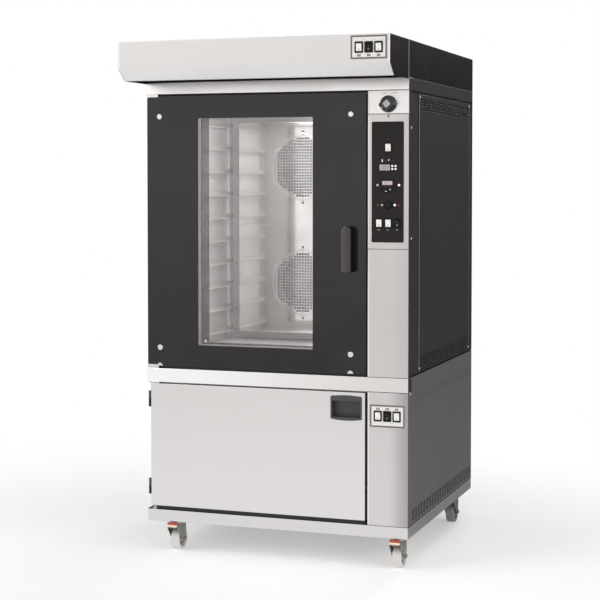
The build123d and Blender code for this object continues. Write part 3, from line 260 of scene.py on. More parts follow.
def brushed_group():
    """Fine level scratches of brushed sheet steel, and broader level streaks."""
    group, _, out = new_group("brushed_sheet", [],
                              [("Height", "NodeSocketFloat"), ("Streak", "NodeSocketFloat")])
    fine = noise(group, stretched(group, (6, 6, 1100)), 1, 3)
    slow = noise(group, stretched(group, (1.2, 1.2, 90)), 1, 3)
    group.links.new(fine, out.inputs["Height"])
    group.links.new(arithmetic(group, "ADD", arithmetic(group, "MULTIPLY", fine, 0.5),
                               arithmetic(group, "MULTIPLY", slow, 0.5)), out.inputs["Streak"])
    return group


def handling_group():
    """Soft patches where hands and cloths have dulled a surface."""
    group, source, out = new_group("handling_marks", [("Size", 6.0)], [("Mask", "NodeSocketFloat")])
    patches = noise(group, stretched(group, (1, 1, 1)), source.outputs["Size"], 5, 0.62)
    group.links.new(ranged(group, patches, 0.38, 0.68), out.inputs["Mask"])
    return group


def soft_edge_group():
    """Normals that turn softly over the edges, and a mask of the edges."""
    group, source, out = new_group("soft_edges", [("Radius", 0.001)],
                                   [("Normal", "NodeSocketVector"), ("Edge", "NodeSocketFloat")])
    bevel = group.nodes.new("ShaderNodeBevel")
    bevel.samples = 6
    group.links.new(source.outputs["Radius"], bevel.inputs["Radius"])
    geometry = group.nodes.new("ShaderNodeNewGeometry")
    dot = group.nodes.new("ShaderNodeVectorMath")
    dot.operation = "DOT_PRODUCT"
    group.links.new(bevel.outputs["Normal"], dot.inputs[0])
    group.links.new(geometry.outputs["Normal"], dot.inputs[1])
    group.links.new(bevel.outputs["Normal"], out.inputs["Normal"])
    group.links.new(ranged(group, dot.outputs["Value"], 0.995, 0.8), out.inputs["Edge"])
    return group


def pitted_group():
    """Fine pebbled skin of sprayed paint and moulded plastic."""
    group, source, out = new_group("pebbled_skin", [("Size", 500.0)],
                                   [("Height", "NodeSocketFloat"), ("Tone", "NodeSocketFloat")])
    whole = stretched(group, (1, 1, 1))
    group.links.new(noise(group, whole, source.outputs["Size"], 2), out.inputs["Height"])
    group.links.new(noise(group, whole, 2.5, 4), out.inputs["Tone"])
    return group


BRUSHED = brushed_group()
HANDLING = handling_group()
SOFT_EDGES = soft_edge_group()
PEBBLED = pitted_group()


def placed_group(tree, group, **values):
    """Puts a shared effect in a material with its own values."""
    node = tree.nodes.new("ShaderNodeGroup")
    node.node_tree = group
    for label, value in values.items():
        node.inputs[label].default_value = value
    return node.outputs


def mixed(tree, fac, first, second):
    """Colour between two colours, each (r, g, b) or a socket."""
    node = tree.nodes.new("ShaderNodeMix")
    node.data_type = "RGBA"
    tree.links.new(fac, node.inputs["Factor"])
    for socket, colour in ((node.inputs[6], first), (node.inputs[7], second)):
        if isinstance(colour, tuple):
            socket.default_value = (*colour, 1)
        else:
            tree.links.new(colour, socket)
    return node.outputs[2]


def bumped(tree, height, strength, distance, normal=None):
    """Normal from a height, on top of a softened normal."""
    node = tree.nodes.new("ShaderNodeBump")
    node.inputs["Strength"].default_value = strength
    node.inputs["Distance"].default_value = distance
    tree.links.new(height, node.inputs["Height"])
    if normal is not None:
        tree.links.new(normal, node.inputs["Normal"])
    return node.outputs["Normal"]


def started(name):
    """New material, its node tree and its main shader."""
    material = bpy.data.materials.new(name)
    material.use_nodes = True
    return material, material.node_tree, material.node_tree.nodes["Principled BSDF"]


# Finishes

def steel(name, tone, rough, grain=0.25, marks=0.05, edge=0.0025, metal=1.0):
    """Sheet steel with level brushing, dulled patches and rounded folds."""
    material, tree, shader = started(name)
    brushed = placed_group(tree, BRUSHED)
    marked = placed_group(tree, HANDLING, Size=3.0)
    edges = placed_group(tree, SOFT_EDGES, Radius=edge)
    dark = tuple(c * 0.965 for c in tone)
    light = tuple(min(1.0, c * 1.03) for c in tone)
    tree.links.new(mixed(tree, brushed["Streak"], dark, light), shader.inputs["Base Color"])
    streaked = ranged(tree, brushed["Streak"], 0.3, 0.7, rough - 0.02, rough + 0.03)
    dulled = arithmetic(tree, "MULTIPLY", marked["Mask"], marks)
    tree.links.new(arithmetic(tree, "ADD", streaked, dulled), shader.inputs["Roughness"])
    tree.links.new(bumped(tree, brushed["Height"], grain, 0.0002, edges["Normal"]), shader.inputs["Normal"])
    shader.inputs["Metallic"].default_value = metal
    return material


def banded(material, bands, axis="Z", start=0):
    """Gives a finish another colour over bands: (from, to), colour, and the x it fades over if any."""
    tree = material.node_tree
    shader = tree.nodes["Principled BSDF"]
    where = tree.nodes.new("ShaderNodeTexCoord")
    split = tree.nodes.new("ShaderNodeSeparateXYZ")
    tree.links.new(where.outputs["Object"], split.inputs["Vector"])
    for (low, high), tone, *fade in bands:
        low, high = (low + start) * MM, (high + start) * MM
        over = ranged(tree, split.outputs[axis], low - 0.0005, low + 0.0005)
        under = ranged(tree, split.outputs[axis], high - 0.0005, high + 0.0005, 1, 0)
        inside = arithmetic(tree, "MULTIPLY", over, under)
        for x_from, x_to in fade:
            across = ranged(tree, split.outputs["X"], (x_from + LEFT_SIDE) * MM, (x_to + LEFT_SIDE) * MM)
            inside = arithmetic(tree, "MULTIPLY", inside, across)
        colour = shader.inputs["Base Color"].links[0].from_socket
        tree.links.new(mixed(tree, inside, colour, tone), shader.inputs["Base Color"])
    return material


def painted(name, tone, rough, skin=0.12, size=700.0, edge=0.0015, wear_and_highlight=0.25, shine=0.5):
    """Sprayed sheet: pebbled skin, slow change of tone, lighter edges that are partly rubbed paint and
    partly a painted highlight.
    """
    material, tree, shader = started(name)
    pebbled = placed_group(tree, PEBBLED, Size=size)
    marked = placed_group(tree, HANDLING, Size=5.0)
    edges = placed_group(tree, SOFT_EDGES, Radius=edge)
    base = mixed(tree, pebbled["Tone"], tuple(c * 0.94 for c in tone), tuple(c * 1.06 for c in tone))
    # Lighter colour along the edges: partly rubbed paint, partly a painted highlight
    worn_and_highlit = arithmetic(tree, "MULTIPLY", edges["Edge"], wear_and_highlight)
    bright = tuple(min(1.0, c * 2.0 + 0.015) for c in tone)
    tree.links.new(mixed(tree, worn_and_highlit, base, bright), shader.inputs["Base Color"])
    dulled = ranged(tree, marked["Mask"], 0, 1, rough - 0.02, rough + 0.03)
    tree.links.new(dulled, shader.inputs["Roughness"])
    tree.links.new(bumped(tree, pebbled["Height"], skin, 0.0003, edges["Normal"]), shader.inputs["Normal"])
    shader.inputs["Specular IOR Level"].default_value = shine
    return material


def plastic(name, tone, rough, skin=0.08, size=1500.0, shine=0.5):
    """Moulded plastic: the painted finish with a finer skin and hardly any lighter edges, which are partly
    rubbing and partly a painted highlight.
    """
    return painted(name, tone, rough, skin, size, edge=0.0008, wear_and_highlight=0.08, shine=shine)


def black_glass(name):
    """Black-backed door glass: glossy, with faint wiping marks and lighter edges that are a painted
    highlight.
    """
    material, tree, shader = started(name)
    marked = placed_group(tree, HANDLING, Size=7.0)
    edges = placed_group(tree, SOFT_EDGES, Radius=0.0015)
    base = mixed(tree, marked["Mask"], (0.0085, 0.0062, 0.0062), (0.012, 0.0093, 0.0092))
    # Lighter colour along the edges: painted highlight
    tree.links.new(mixed(tree, edges["Edge"], base, (0.05, 0.047, 0.045)), shader.inputs["Base Color"])
    tree.links.new(ranged(tree, marked["Mask"], 0, 1, 0.05, 0.12), shader.inputs["Roughness"])
    wave = noise(tree, stretched(tree, (1, 1, 1)), 4, 1)
    tree.links.new(bumped(tree, wave, 0.08, 0.002, edges["Normal"]), shader.inputs["Normal"])
    shader.inputs["IOR"].default_value = 1.5
    return material


def clear_glass(name, tone=(1, 1, 1)):
    """Clear pane that lets light and shadow through."""
    material, tree, shader = started(name)
    marked = placed_group(tree, HANDLING, Size=9.0)
    whiter = tuple(c * 0.96 for c in tone)
    tree.links.new(mixed(tree, marked["Mask"], tone, whiter), shader.inputs["Base Color"])
    tree.links.new(ranged(tree, marked["Mask"], 0, 1, 0, 0.02), shader.inputs["Roughness"])
    shader.inputs["Transmission Weight"].default_value = 1
    shader.inputs["IOR"].default_value = 1.02
    shader.inputs["Coat Weight"].default_value = 0.7
    shader.inputs["Coat Roughness"].default_value = 0.02
    see_through = tree.nodes.new("ShaderNodeBsdfTransparent")
    see_through.inputs["Color"].default_value = (*(0.97 * c for c in tone), 1)
    path = tree.nodes.new("ShaderNodeLightPath")
    indirect = arithmetic(tree, "MAXIMUM", path.outputs["Is Shadow Ray"], path.outputs["Is Diffuse Ray"])
    both = tree.nodes.new("ShaderNodeMixShader")
    tree.links.new(indirect, both.inputs["Fac"])
    tree.links.new(shader.outputs["BSDF"], both.inputs[1])
    tree.links.new(see_through.outputs["BSDF"], both.inputs[2])
    tree.links.new(both.outputs["Shader"], tree.nodes["Material Output"].inputs["Surface"])
    return material


def glowing(name, tone, glow, strength):
    """Small lit lens or display, with a faint grain in its colour and its glow."""
    material, tree, shader = started(name)
    pebbled = placed_group(tree, PEBBLED, Size=900.0)
    tree.links.new(mixed(tree, pebbled["Tone"], tone, tuple(c * 0.85 for c in tone)),
                   shader.inputs["Base Color"])
    dim = tuple(c * 0.9 for c in glow)
    tree.links.new(mixed(tree, pebbled["Height"], glow, dim), shader.inputs["Emission Color"])
    shader.inputs["Emission Strength"].default_value = strength
    shader.inputs["Roughness"].default_value = 0.12
    return material


def mineral_wool(name):
    """Yellow-grey fibre mat."""
    material, tree, shader = started(name)
    fibre = noise(tree, stretched(tree, (60, 200, 90)), 1, 6, 0.7)
    tree.links.new(mixed(tree, fibre, (0.32, 0.27, 0.15), (0.62, 0.56, 0.38)), shader.inputs["Base Color"])
    tree.links.new(bumped(tree, fibre, 0.8, 0.004), shader.inputs["Normal"])
    shader.inputs["Roughness"].default_value = 0.95
    return material


def zinc_plate(name, tone):
    """Zinc-plated pressed steel with a faint spangle."""
    material, tree, shader = started(name)
    spangle = tree.nodes.new("ShaderNodeTexVoronoi")
    spangle.inputs["Scale"].default_value = 180
    tree.links.new(stretched(tree, (1, 1, 1)), spangle.inputs["Vector"])
    edges = placed_group(tree, SOFT_EDGES, Radius=0.001)
    marked = placed_group(tree, HANDLING, Size=25.0)
    cell = spangle.outputs["Distance"]
    tree.links.new(mixed(tree, cell, tone, tuple(c * 0.72 for c in tone)), shader.inputs["Base Color"])
    tree.links.new(ranged(tree, marked["Mask"], 0, 1, 0.32, 0.55), shader.inputs["Roughness"])
    tree.links.new(bumped(tree, cell, 0.1, 0.0005, edges["Normal"]), shader.inputs["Normal"])
    shader.inputs["Metallic"].default_value = 1
    return material


front_steel = steel("front_steel", (0.66, 0.645, 0.64), 0.30, grain=0.18)
# Tones per band paint light and shade: darker towards the right over the oven column, a lighter mid band
# darkening to the right, and a lighter knob panel and top band that make up for the visor's shade
fascia_steel = banded(steel("fascia_steel", (0.635, 0.612, 0.607), 0.28, grain=0.18),
                      [((655, KNOB_PANEL[0]), (0.58, 0.555, 0.555), (890, 965)),
                       ((600, MID_BAND[1]), (0.98, 0.975, 0.985)),
                       ((600, MID_BAND[1]), (0.74, 0.715, 0.705), (-150, 1000)),
                       (KNOB_PANEL, (0.84, 0.815, 0.81)),
                       ((KNOB_PANEL[1], HOOD_BOTTOM), (0.97, 0.955, 0.95))])
# The proofer column darkens towards its right edge: painted reflection
column_steel = banded(steel("column_steel", (0.625, 0.605, 0.60), 0.30, grain=0.18),
                      [((140, 606), (0.39, 0.365, 0.375), (885, 965))])
# Lighter copy of the front steel for the proofer door: painted light
door_steel = steel("door_steel", (0.70, 0.682, 0.678), 0.30, grain=0.18)
# The visor's slanted lower face is lighter: painted reflection of the floor
visor_steel = banded(steel("visor_steel", (0.70, 0.685, 0.68), 0.30, grain=0.18),
                     [((VISOR_LIP - 5, VISOR_FOLD), (0.86, 0.845, 0.84))])
liner_steel = steel("liner_steel", (0.78, 0.76, 0.755), 0.42, grain=0.08, marks=0.04, edge=0.002, metal=0.5)
baffle_steel = steel("baffle_steel", (0.84, 0.825, 0.82), 0.07, grain=0.012, marks=0.02, edge=0.002,
                     metal=0.93)
rail_steel = banded(steel("rail_steel", (0.68, 0.66, 0.655), 0.42, grain=0.05, edge=0.001, metal=0.5),
                    [((545, 575), (0.40, 0.385, 0.38))], "Y", FRONT_PLANE)
guard_steel = steel("guard_steel", (0.62, 0.61, 0.60), 0.35, grain=0.05, edge=0.001, metal=0.7)
fan_steel = steel("fan_steel", (0.45, 0.44, 0.43), 0.35, grain=0.1)
stud_steel = steel("stud_steel", (0.78, 0.77, 0.75), 0.16, grain=0.03, marks=0.02, edge=0.001)
# Lighter steel for strips along bends: painted highlight
bent_edge_highlight = steel("bent_edge_highlight", (0.86, 0.85, 0.84), 0.34, grain=0.1)
# Strips for the cover's rear edge: a fainter painted highlight
faint_edge_highlight = steel("faint_edge_highlight", (0.42, 0.41, 0.40), 0.38, grain=0.1)
# Light strips for seams, returns and the cover's front edge: light steel edges and painted highlights
light_edge_and_highlight = steel("light_edge_and_highlight", (0.62, 0.60, 0.60), 0.36, grain=0.1, metal=0.4)
screw_steel = steel("screw_steel", (0.86, 0.85, 0.83), 0.28, grain=0.03, marks=0.02, edge=0.001, metal=0.35)
# Black for the seams, and for sheets behind the vent slots that paint the shade inside them
joint_and_vent_shade = painted("joint_and_vent_shade", (0.006, 0.005, 0.005), 0.7, skin=0.2, size=500.0, edge=0.0008, wear_and_highlight=0,
                    shine=0.1)
aluminium = steel("aluminium", (0.72, 0.72, 0.72), 0.36, grain=0.15)
# Side paints: darkest on the hood, lighter on the oven, lightest on the proofer
oven_paint = painted("oven_paint", (0.029, 0.0265, 0.028), 0.46, skin=0.10, shine=0.30)
proofer_paint = painted("proofer_paint", (0.118, 0.109, 0.112), 0.48, skin=0.10, wear_and_highlight=0.2, shine=0.35)
hood_paint = painted("hood_paint", (0.0090, 0.0066, 0.0060), 0.46, skin=0.10, shine=0.06)
motor_paint = painted("motor_paint", (0.03, 0.035, 0.04), 0.5, skin=0.3, size=400.0)
door_glass = black_glass("door_glass")
pane_glass = clear_glass("pane_glass")
pane_shade = clear_glass("pane_shade", (0.32, 0.30, 0.30))
rubber = plastic("rubber", (0.012, 0.012, 0.012), 0.62, skin=0.2, size=900.0)
# The lighter front face and the lighter left chamfer, fading out to the right, are painted light and a
# painted highlight on the black plastic
handle_plastic = banded(plastic("handle_plastic", (0.0015, 0.0015, 0.0015), 0.16, skin=0.04, shine=0.12),
                        [((-47, -41.2), (0.064, 0.059, 0.059)),
                         ((-45.8, -41.2), (0.13, 0.12, 0.12), (757, 750))], "Y", FRONT_PLANE)
pull_plastic = plastic("pull_plastic", (0.050, 0.048, 0.050), 0.45)
black_plastic = plastic("black_plastic", (0.004, 0.004, 0.004), 0.34, shine=0.25)
knob_plastic = plastic("knob_plastic", (0.030, 0.028, 0.028), 0.38)
panel_film = plastic("panel_film", (0.0155, 0.013, 0.0115), 0.42, skin=0.05, size=2500.0, shine=0.2)
white_film = plastic("white_film", (0.80, 0.78, 0.765), 0.45, skin=0.05, size=2500.0)
grey_film = plastic("grey_film", (0.15, 0.135, 0.135), 0.45, skin=0.05, size=2500.0)
white_plastic = plastic("white_plastic", (0.90, 0.885, 0.87), 0.28)
mark_grey = plastic("mark_grey", (0.42, 0.41, 0.40), 0.5)
mark_white = plastic("mark_white", (0.75, 0.73, 0.72), 0.5)
mark_dark = plastic("mark_dark", (0.06, 0.055, 0.055), 0.5)
mark_faint = plastic("mark_faint", (0.34, 0.33, 0.33), 0.5)
mark_pale = plastic("mark_pale", (0.55, 0.54, 0.53), 0.4)
mark_red = plastic("mark_red", (0.085, 0.010, 0.010), 0.5)
knob_grey = plastic("knob_grey", (0.52, 0.52, 0.52), 0.35)
nylon = plastic("nylon", (0.66, 0.64, 0.63), 0.42, skin=0.12, size=500.0)
# Darker copy of the wheel nylon for the rear wheels: painted shade
nylon_shaded = plastic("nylon_shaded", (0.20, 0.20, 0.21), 0.45, skin=0.12, size=500.0)
nylon_core = plastic("nylon_core", (0.22, 0.215, 0.21), 0.5, skin=0.15, size=500.0)
pedal_red = banded(plastic("pedal_red", (0.42, 0.035, 0.02), 0.38),
                   [((70, 89.5), (0.09, 0.085, 0.075)), ((89.5, 98), (0.80, 0.66, 0.52))])
pedal_cream = plastic("pedal_cream", (0.80, 0.66, 0.52), 0.42)
zinc = zinc_plate("zinc", (0.40, 0.385, 0.34))
heater_sheath = painted("heater_sheath", (0.05, 0.042, 0.038), 0.55, skin=0.3, size=600.0)
wool = mineral_wool("wool")
lamp_lens = glowing("lamp_lens", (0.9, 0.88, 0.82), (1.0, 0.93, 0.80), 3.0)
screen_upper = glowing("screen_upper", (0.26, 0.235, 0.265), (0.38, 0.33, 0.38), 0.45)
screen_timer = glowing("screen_timer", (0.34, 0.28, 0.30), (0.52, 0.41, 0.44), 0.5)
digit_ink = glowing("digit_ink", (0.20, 0.18, 0.21), (0.3, 0.26, 0.3), 0.25)
lens_red = glowing("lens_red", (0.12, 0.015, 0.015), (0.30, 0.02, 0.02), 0.2)
lens_green = glowing("lens_green", (0.34, 0.37, 0.30), (0.45, 0.50, 0.40), 0.3)
lens_grey = glowing("lens_grey", (0.45, 0.44, 0.44), (0.5, 0.5, 0.5), 0.25)
lens_white = glowing("lens_white", (0.8, 0.8, 0.8), (0.95, 0.95, 0.95), 0.7)

# Finish of every node of the model
finishes = {
    "base_frame": front_steel, "caster_mounts": zinc, "proofer_casing": proofer_paint,
    "proofer_front": column_steel, "proofer_chamber": liner_steel, "tray_racks": rail_steel,
    "oven_casing": oven_paint, "side_covers": oven_paint, "oven_cavity": liner_steel, "insulation": wool,
    "fan_baffle": baffle_steel, "fan_motors": motor_paint, "heating_elements": heater_sheath,
    "oven_fascia": fascia_steel, "door_gaskets": rubber, "oven_lamp": lamp_lens,
    "hinge_brackets": stud_steel, "proofer_hinges": black_plastic, "control_plate": panel_film,
    "displays_and_lamps": panel_film, "switch_plates": white_film, "hood_box": hood_paint,
    "hood_visor": visor_steel, "hood_filter": aluminium, "oven_door_front": door_glass,
    "oven_door_shell": liner_steel, "oven_door_panes": pane_glass, "oven_door_studs": stud_steel,
    "oven_handle": handle_plastic, "proofer_door": door_steel, "proofer_pull_and_knuckles": pull_plastic,
    "timer_knob": knob_plastic, "round_button": black_plastic,
    "oven_fan_lower": fan_steel, "oven_fan_upper": fan_steel,
}
BLACK_ROCKERS = ("rocker_panel_right", "rocker_proofer_middle", "rocker_hood_middle")
for name, node in nodes.items():
    if name in finishes:
        finish = finishes[name]
    elif name.startswith("rocker_"):
        finish = black_plastic if name in BLACK_ROCKERS else white_plastic
    elif name.startswith("display_button_"):
        finish = white_plastic
    elif name.startswith("caster_wheel_"):
        # The rear wheels take the darker copy of the nylon: painted shade
        finish = nylon_shaded if "rear" in name else nylon
    elif name.startswith("brake_pedal_"):
        finish = pedal_red
    else:
        finish = zinc
    if not node.material_slots:
        node.data.materials.append(finish)
    for slot in node.material_slots:
        slot.material = finish

# Screws of the sides, the covers and the back sheets

def pan_screw(shape, at, radius):
    """Pan head with a crossed recess."""
    turned(shape, domed(radius, SCREW_HEIGHT), at, 20)
    for tilt in (0, 90):
        rounded_slab(shape, radius * 1.1, radius * 0.28, SCREW_HEIGHT * 0.3, at=at, base=SCREW_HEIGHT * 0.82,
                     tilt=tilt)


def screws(name, where, radius, places, material=screw_steel):
    """Piece of screw heads on a face."""
    shape = bmesh.new()
    for at in places:
        pan_screw(shape, at, radius)
    finish_piece(name, shape, where, material, "cabinet")


side_screws = [(32, 1498), (34, 1125), (26, 600)]
cover_screws = [(y, z) for y in (COVER_Y[0] + 9, COVER_Y[1] - 9) for z in (COVER_Z[0] + 9, COVER_Z[1] - 9)]
for side, x, sign in SIDES:
    flank = face(side, x, 0, 0)
    screws(f"side_screws_{side}", flank, SIDE_SCREW, [(sign * y, z) for y, z in side_screws])
    screws(f"cover_screws_{side}", flank, SHEET_SCREW, [(sign * y, z) for y, z in cover_screws])

# Control plate: screens, lamps, bezels and plain marks
PLATE_FACE = -3
panel = face("front", 0, PLATE_FACE, 0)
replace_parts(plates("screen_bezel", panel, black_plastic,
                   [((889, 1364), (66, 27, 1.0), 3, 0.3, 0, 0),
                    ((889, 1301), (60, 48, 1.0), 20, 0.3, 0, 0)]),
            "displays_and_lamps")
plates("thermostat_screen", panel, screen_upper,
       [((878, 1364), (37, 20, 1.5), 1.5, 0.4, 0, 0)])
plates("timer_screen", panel, screen_timer,
       [((887, 1312), (35, 13, 1.5), 1.5, 0.4, 0, 0)])


def segments(at, height, lit):
    """Plates of one seven-segment figure; lit holds the letters of the bars that show."""
    half, stroke = height * 0.27, height * 0.12
    bars = {"a": (0, 0.5, 0), "g": (0, 0, 0), "d": (0, -0.5, 0),
            "f": (-1, 0.25, 1), "b": (1, 0.25, 1), "e": (-1, -0.25, 1), "c": (1, -0.25, 1)}
    made = []
    for letter in lit:
        side, rise, upright = bars[letter]
        width, tall = (stroke, height * 0.4) if upright else (half * 1.6, stroke)
        made.append(((at[0] + side * half, at[1] + rise * height), (width, tall, 0.25), 0, 0, 1.45, 0))
    return made


figures = []
for x, lit in ((867, "bc"), (877, "afgedc"), (887, "abcdef")):
    figures += segments((x, 1364), 11, lit)
for x, lit in ((879, "abgcd"), (889, "abcdef")):
    figures += segments((x - 1, 1312), 7.5, lit)
plates("screen_figures", panel, digit_ink, figures)

lenses("timer_dots", panel, lens_red, [(877, 1301), (888, 1301), (898, 1301)], 1.8, 1.8)
lamp_places = {
    "dim": (lens_grey, [(853, 1305)]), "white": (lens_white, [(928, 1305), (913, 1238)]),
    "green": (lens_green, [(869, 1238)]), "red": (lens_red, [(855, 1238), (926, 1238)])}
rims = bmesh.new()
for tint, (glass, places) in lamp_places.items():
    lenses(f"pilot_{tint}", panel, glass, places, 3.9, 3)
    for at in places:
        turned(rims, [(4.0, 0), (5.6, 0), (5.6, 1.2), (5.0, 1.8), (4.4, 1.8), (4.0, 1.2), (4.0, 0)], at, 32)
turned(rims, [(11.4, 0), (14.5, 0), (14.5, 1.4), (13.6, 2.2), (12.2, 2.2), (11.4, 1.4), (11.4, 0)],
       (892, 1238), 48)
finish_piece("lamp_rims", rims, panel, black_plastic, "cabinet")

# Plain marks beside the controls
plates("panel_marks_white", panel, mark_white, [
    ((869, 1387), (4, 10, 0.15), 1.2, 0, 0, 0), ((882, 1284), (7, 2.2, 0.15), 0, 0, 0.9, 0),
    ((897, 1290), (5, 3.4, 0.15), 1, 0, 0.9, 0), ((891.5, 1389), (5, 4, 0.15), 1, 0, 0, 45)])
plates("panel_marks_red", panel, mark_red, [
    ((880, 1386), (9, 1.6, 0.15), 0, 0, 0, 0), ((905, 1386), (16, 1.6, 0.15), 0, 0, 0, 0),
    ((890, 1458), (7, 1.4, 0.15), 0, 0, 0, 0), ((890, 1462), (1.4, 6, 0.15), 0, 0, 0, 0)])
small_marks = []
for x in LOW_ROCKERS:
    small_marks += [((x - 2.5, 1155), (4.5, 3.2, 0.15), 1, 0, 0, 0),
                    ((x + 2.5, 1153.5), (3, 1.2, 0.15), 0, 0, 0, 0)]
plates("panel_marks_grey", panel, mark_grey, small_marks)
knob_panel = face("front", 0, 0, 0)
plates("knob_marks", knob_panel, mark_faint, [
    ((876, 1613.5), (17, 1.8, 0.15), 0, 0, 0, 0), ((909, 1613.5), (22, 1.8, 0.15), 0, 0, 0, 0)])
plates("knob_pointer", knob_panel, mark_dark, [
    ((890.5, 1537), (3.4, 9.5, 0.15), 1.2, 0, 0, 28), ((887, 1534.5), (2.2, 6, 0.15), 0.8, 0, 0, -8)])

# Cap and notch of the knob
knob_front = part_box("timer_knob")[0][1] / MM - FRONT_PLANE
knob_face = face("front", KNOB_PLACE[0], knob_front + 0.4, KNOB_PLACE[1])
plates("knob_cap", knob_face, knob_grey, [((0, 0), (21, 21, 1.6), 4, 0.6, 0, 40)], "knob")
plates("knob_notch", knob_face, mark_white,
       [((-15.3, -12.9), (1.8, 6, 0.6), 0, 0, 0, 130)], "knob")

# Rims, bezels and marks of the two switch plates
switch_places = {"proofer": (888, 524, -2), "hood": (889, 1749, VISOR_FRONT - 2)}
for name, (middle_x, middle_z, plate_y) in switch_places.items():
    rim = bmesh.new()
    rounded_frame(rim, 122, 76, 5.5, 0.5, 2, 0.2)
    where = face("front", middle_x, plate_y, middle_z)
    finish_piece(f"{name}_plate_rim", rim, where, grey_film, "cabinet")
    bezels = bmesh.new()
    for x in SWITCH_ROCKERS:
        rounded_frame(bezels, 28.5, 36.5, 5.0, 2.0, 2.5, 0.6, (x, 0))
    finish_piece(f"{name}_rocker_bezels", bezels, where, black_plastic, "cabinet")
    mark_z = 25.5 if name == "proofer" else -25.5
    marks = []
    for x in SWITCH_ROCKERS:
        marks += [((x - 4.2, mark_z), (2.8, 5.6, 0.2), 0.8, 0, 0, 0),
                  ((x, mark_z), (2.8, 5.6, 0.2), 0.8, 0, 0, 18),
                  ((x + 4.4, mark_z), (2.8, 5.6, 0.2), 0.8, 0, 0, -18),
                  ((x, mark_z - 3.6), (12, 1.2, 0.2), 0, 0, 0, 0)]
    plates(f"{name}_plate_marks", where, mark_dark, marks)
    faint = [((x, -mark_z * 0.93), (8, 1, 0.15), 0, 0, 0, 0) for x in (-46, -18, 16, 46)]
    plates(f"{name}_plate_ticks", where, mark_faint, faint)

# Black bezels of the rockers on the control plate
bezels = bmesh.new()
for x, z in [TOP_ROCKER] + [(x, LOW_ROCKER_Z) for x in LOW_ROCKERS]:
    rounded_frame(bezels, 26.6, 34.6, 4.0, 2.0, 2.5, 0.6, (x, z))
finish_piece("panel_rocker_bezels", bezels, panel, black_plastic, "cabinet")

# I and O marks on the rockers, which turn with them
rocker_places = {"panel_top": (TOP_ROCKER[0], PLATE_FACE, TOP_ROCKER[1])}
for name, x in zip(("left", "middle", "right"), LOW_ROCKERS):
    rocker_places[f"panel_{name}"] = (x, PLATE_FACE, LOW_ROCKER_Z)
for group, (middle_x, middle_z, plate_y) in switch_places.items():
    for name, x in zip(("left", "middle", "right"), SWITCH_ROCKERS):
        rocker_places[f"{group}_{name}"] = (middle_x + x, plate_y, middle_z)
for name, (x, y, z) in rocker_places.items():
    ink = mark_grey if f"rocker_{name}" in BLACK_ROCKERS else mark_pale
    marks = bmesh.new()
    rounded_slab(marks, 1.2, 5, 1.4, 0, 0, (0, 6.5), 2.1)
    turned(marks, [(1.7, 2.1), (2.7, 2.1), (2.7, 3.4), (1.7, 3.4), (1.7, 2.1)], (0, -6.5), 20)
    finish_piece(f"rocker_{name}_marks", marks, face("front", x, y, z), ink, f"rocker_{name}")

# Thin sheets: dark liners that paint the shade in the door gaps, light strips on bent edges, partly painted
# highlights, seams, and dark backs that paint the shade in the vent slots

def sheet(x, z, thick, base=0):
    """Plate for plates(): (x from, x to), (z from, z to), thickness, place of its back."""
    return ((x[0] + x[1]) / 2, (z[0] + z[1]) / 2), (x[1] - x[0], z[1] - z[0], thick), 0, 0, base, 0


def strip(name, where, material, places, body="cabinet"):
    """Piece of thin sheets on a face: (x from, x to), (z from, z to), thickness."""
    return plates(name, where, material, [sheet(x, z, thick) for x, z, thick in places], body)


def along(sign, start, end):
    """Range behind the front plane, as the side's own x runs."""
    return tuple(sorted((sign * start, sign * end)))


# Dark sheets in the rubber finish set in the gaps round the doors, painting the shade in them: x, y and z
# ranges
gaps = [((30, 809), (8, 40), (148.5, 160.5)), ((815, 817.8), (4, 41), (150, 603)),
        ((50, 812), (8, 40), (654.5, 662.5)), ((814.5, 817.8), (4, 40), (656, 1622)),
        ((50, 812), (5, 40), (1619, 1623.8))]
plates("door_gap_shade_liners", face("front", 0, 0, 0), rubber,
       [sheet(x, z, y[1] - y[0], -y[1]) for x, y, z in gaps])

# Light strips on the bent left edges of the column's panels: painted highlight
COLUMN_EDGE = (818.5, 823.5)
strip("column_edge_highlights", face("front", 0, 0, 0), bent_edge_highlight,
      [(COLUMN_EDGE, z, 0.4) for z in ((656, 1087.5), (1090.5, 1542.5), (1545.5, 1622.5), (151, 603))])

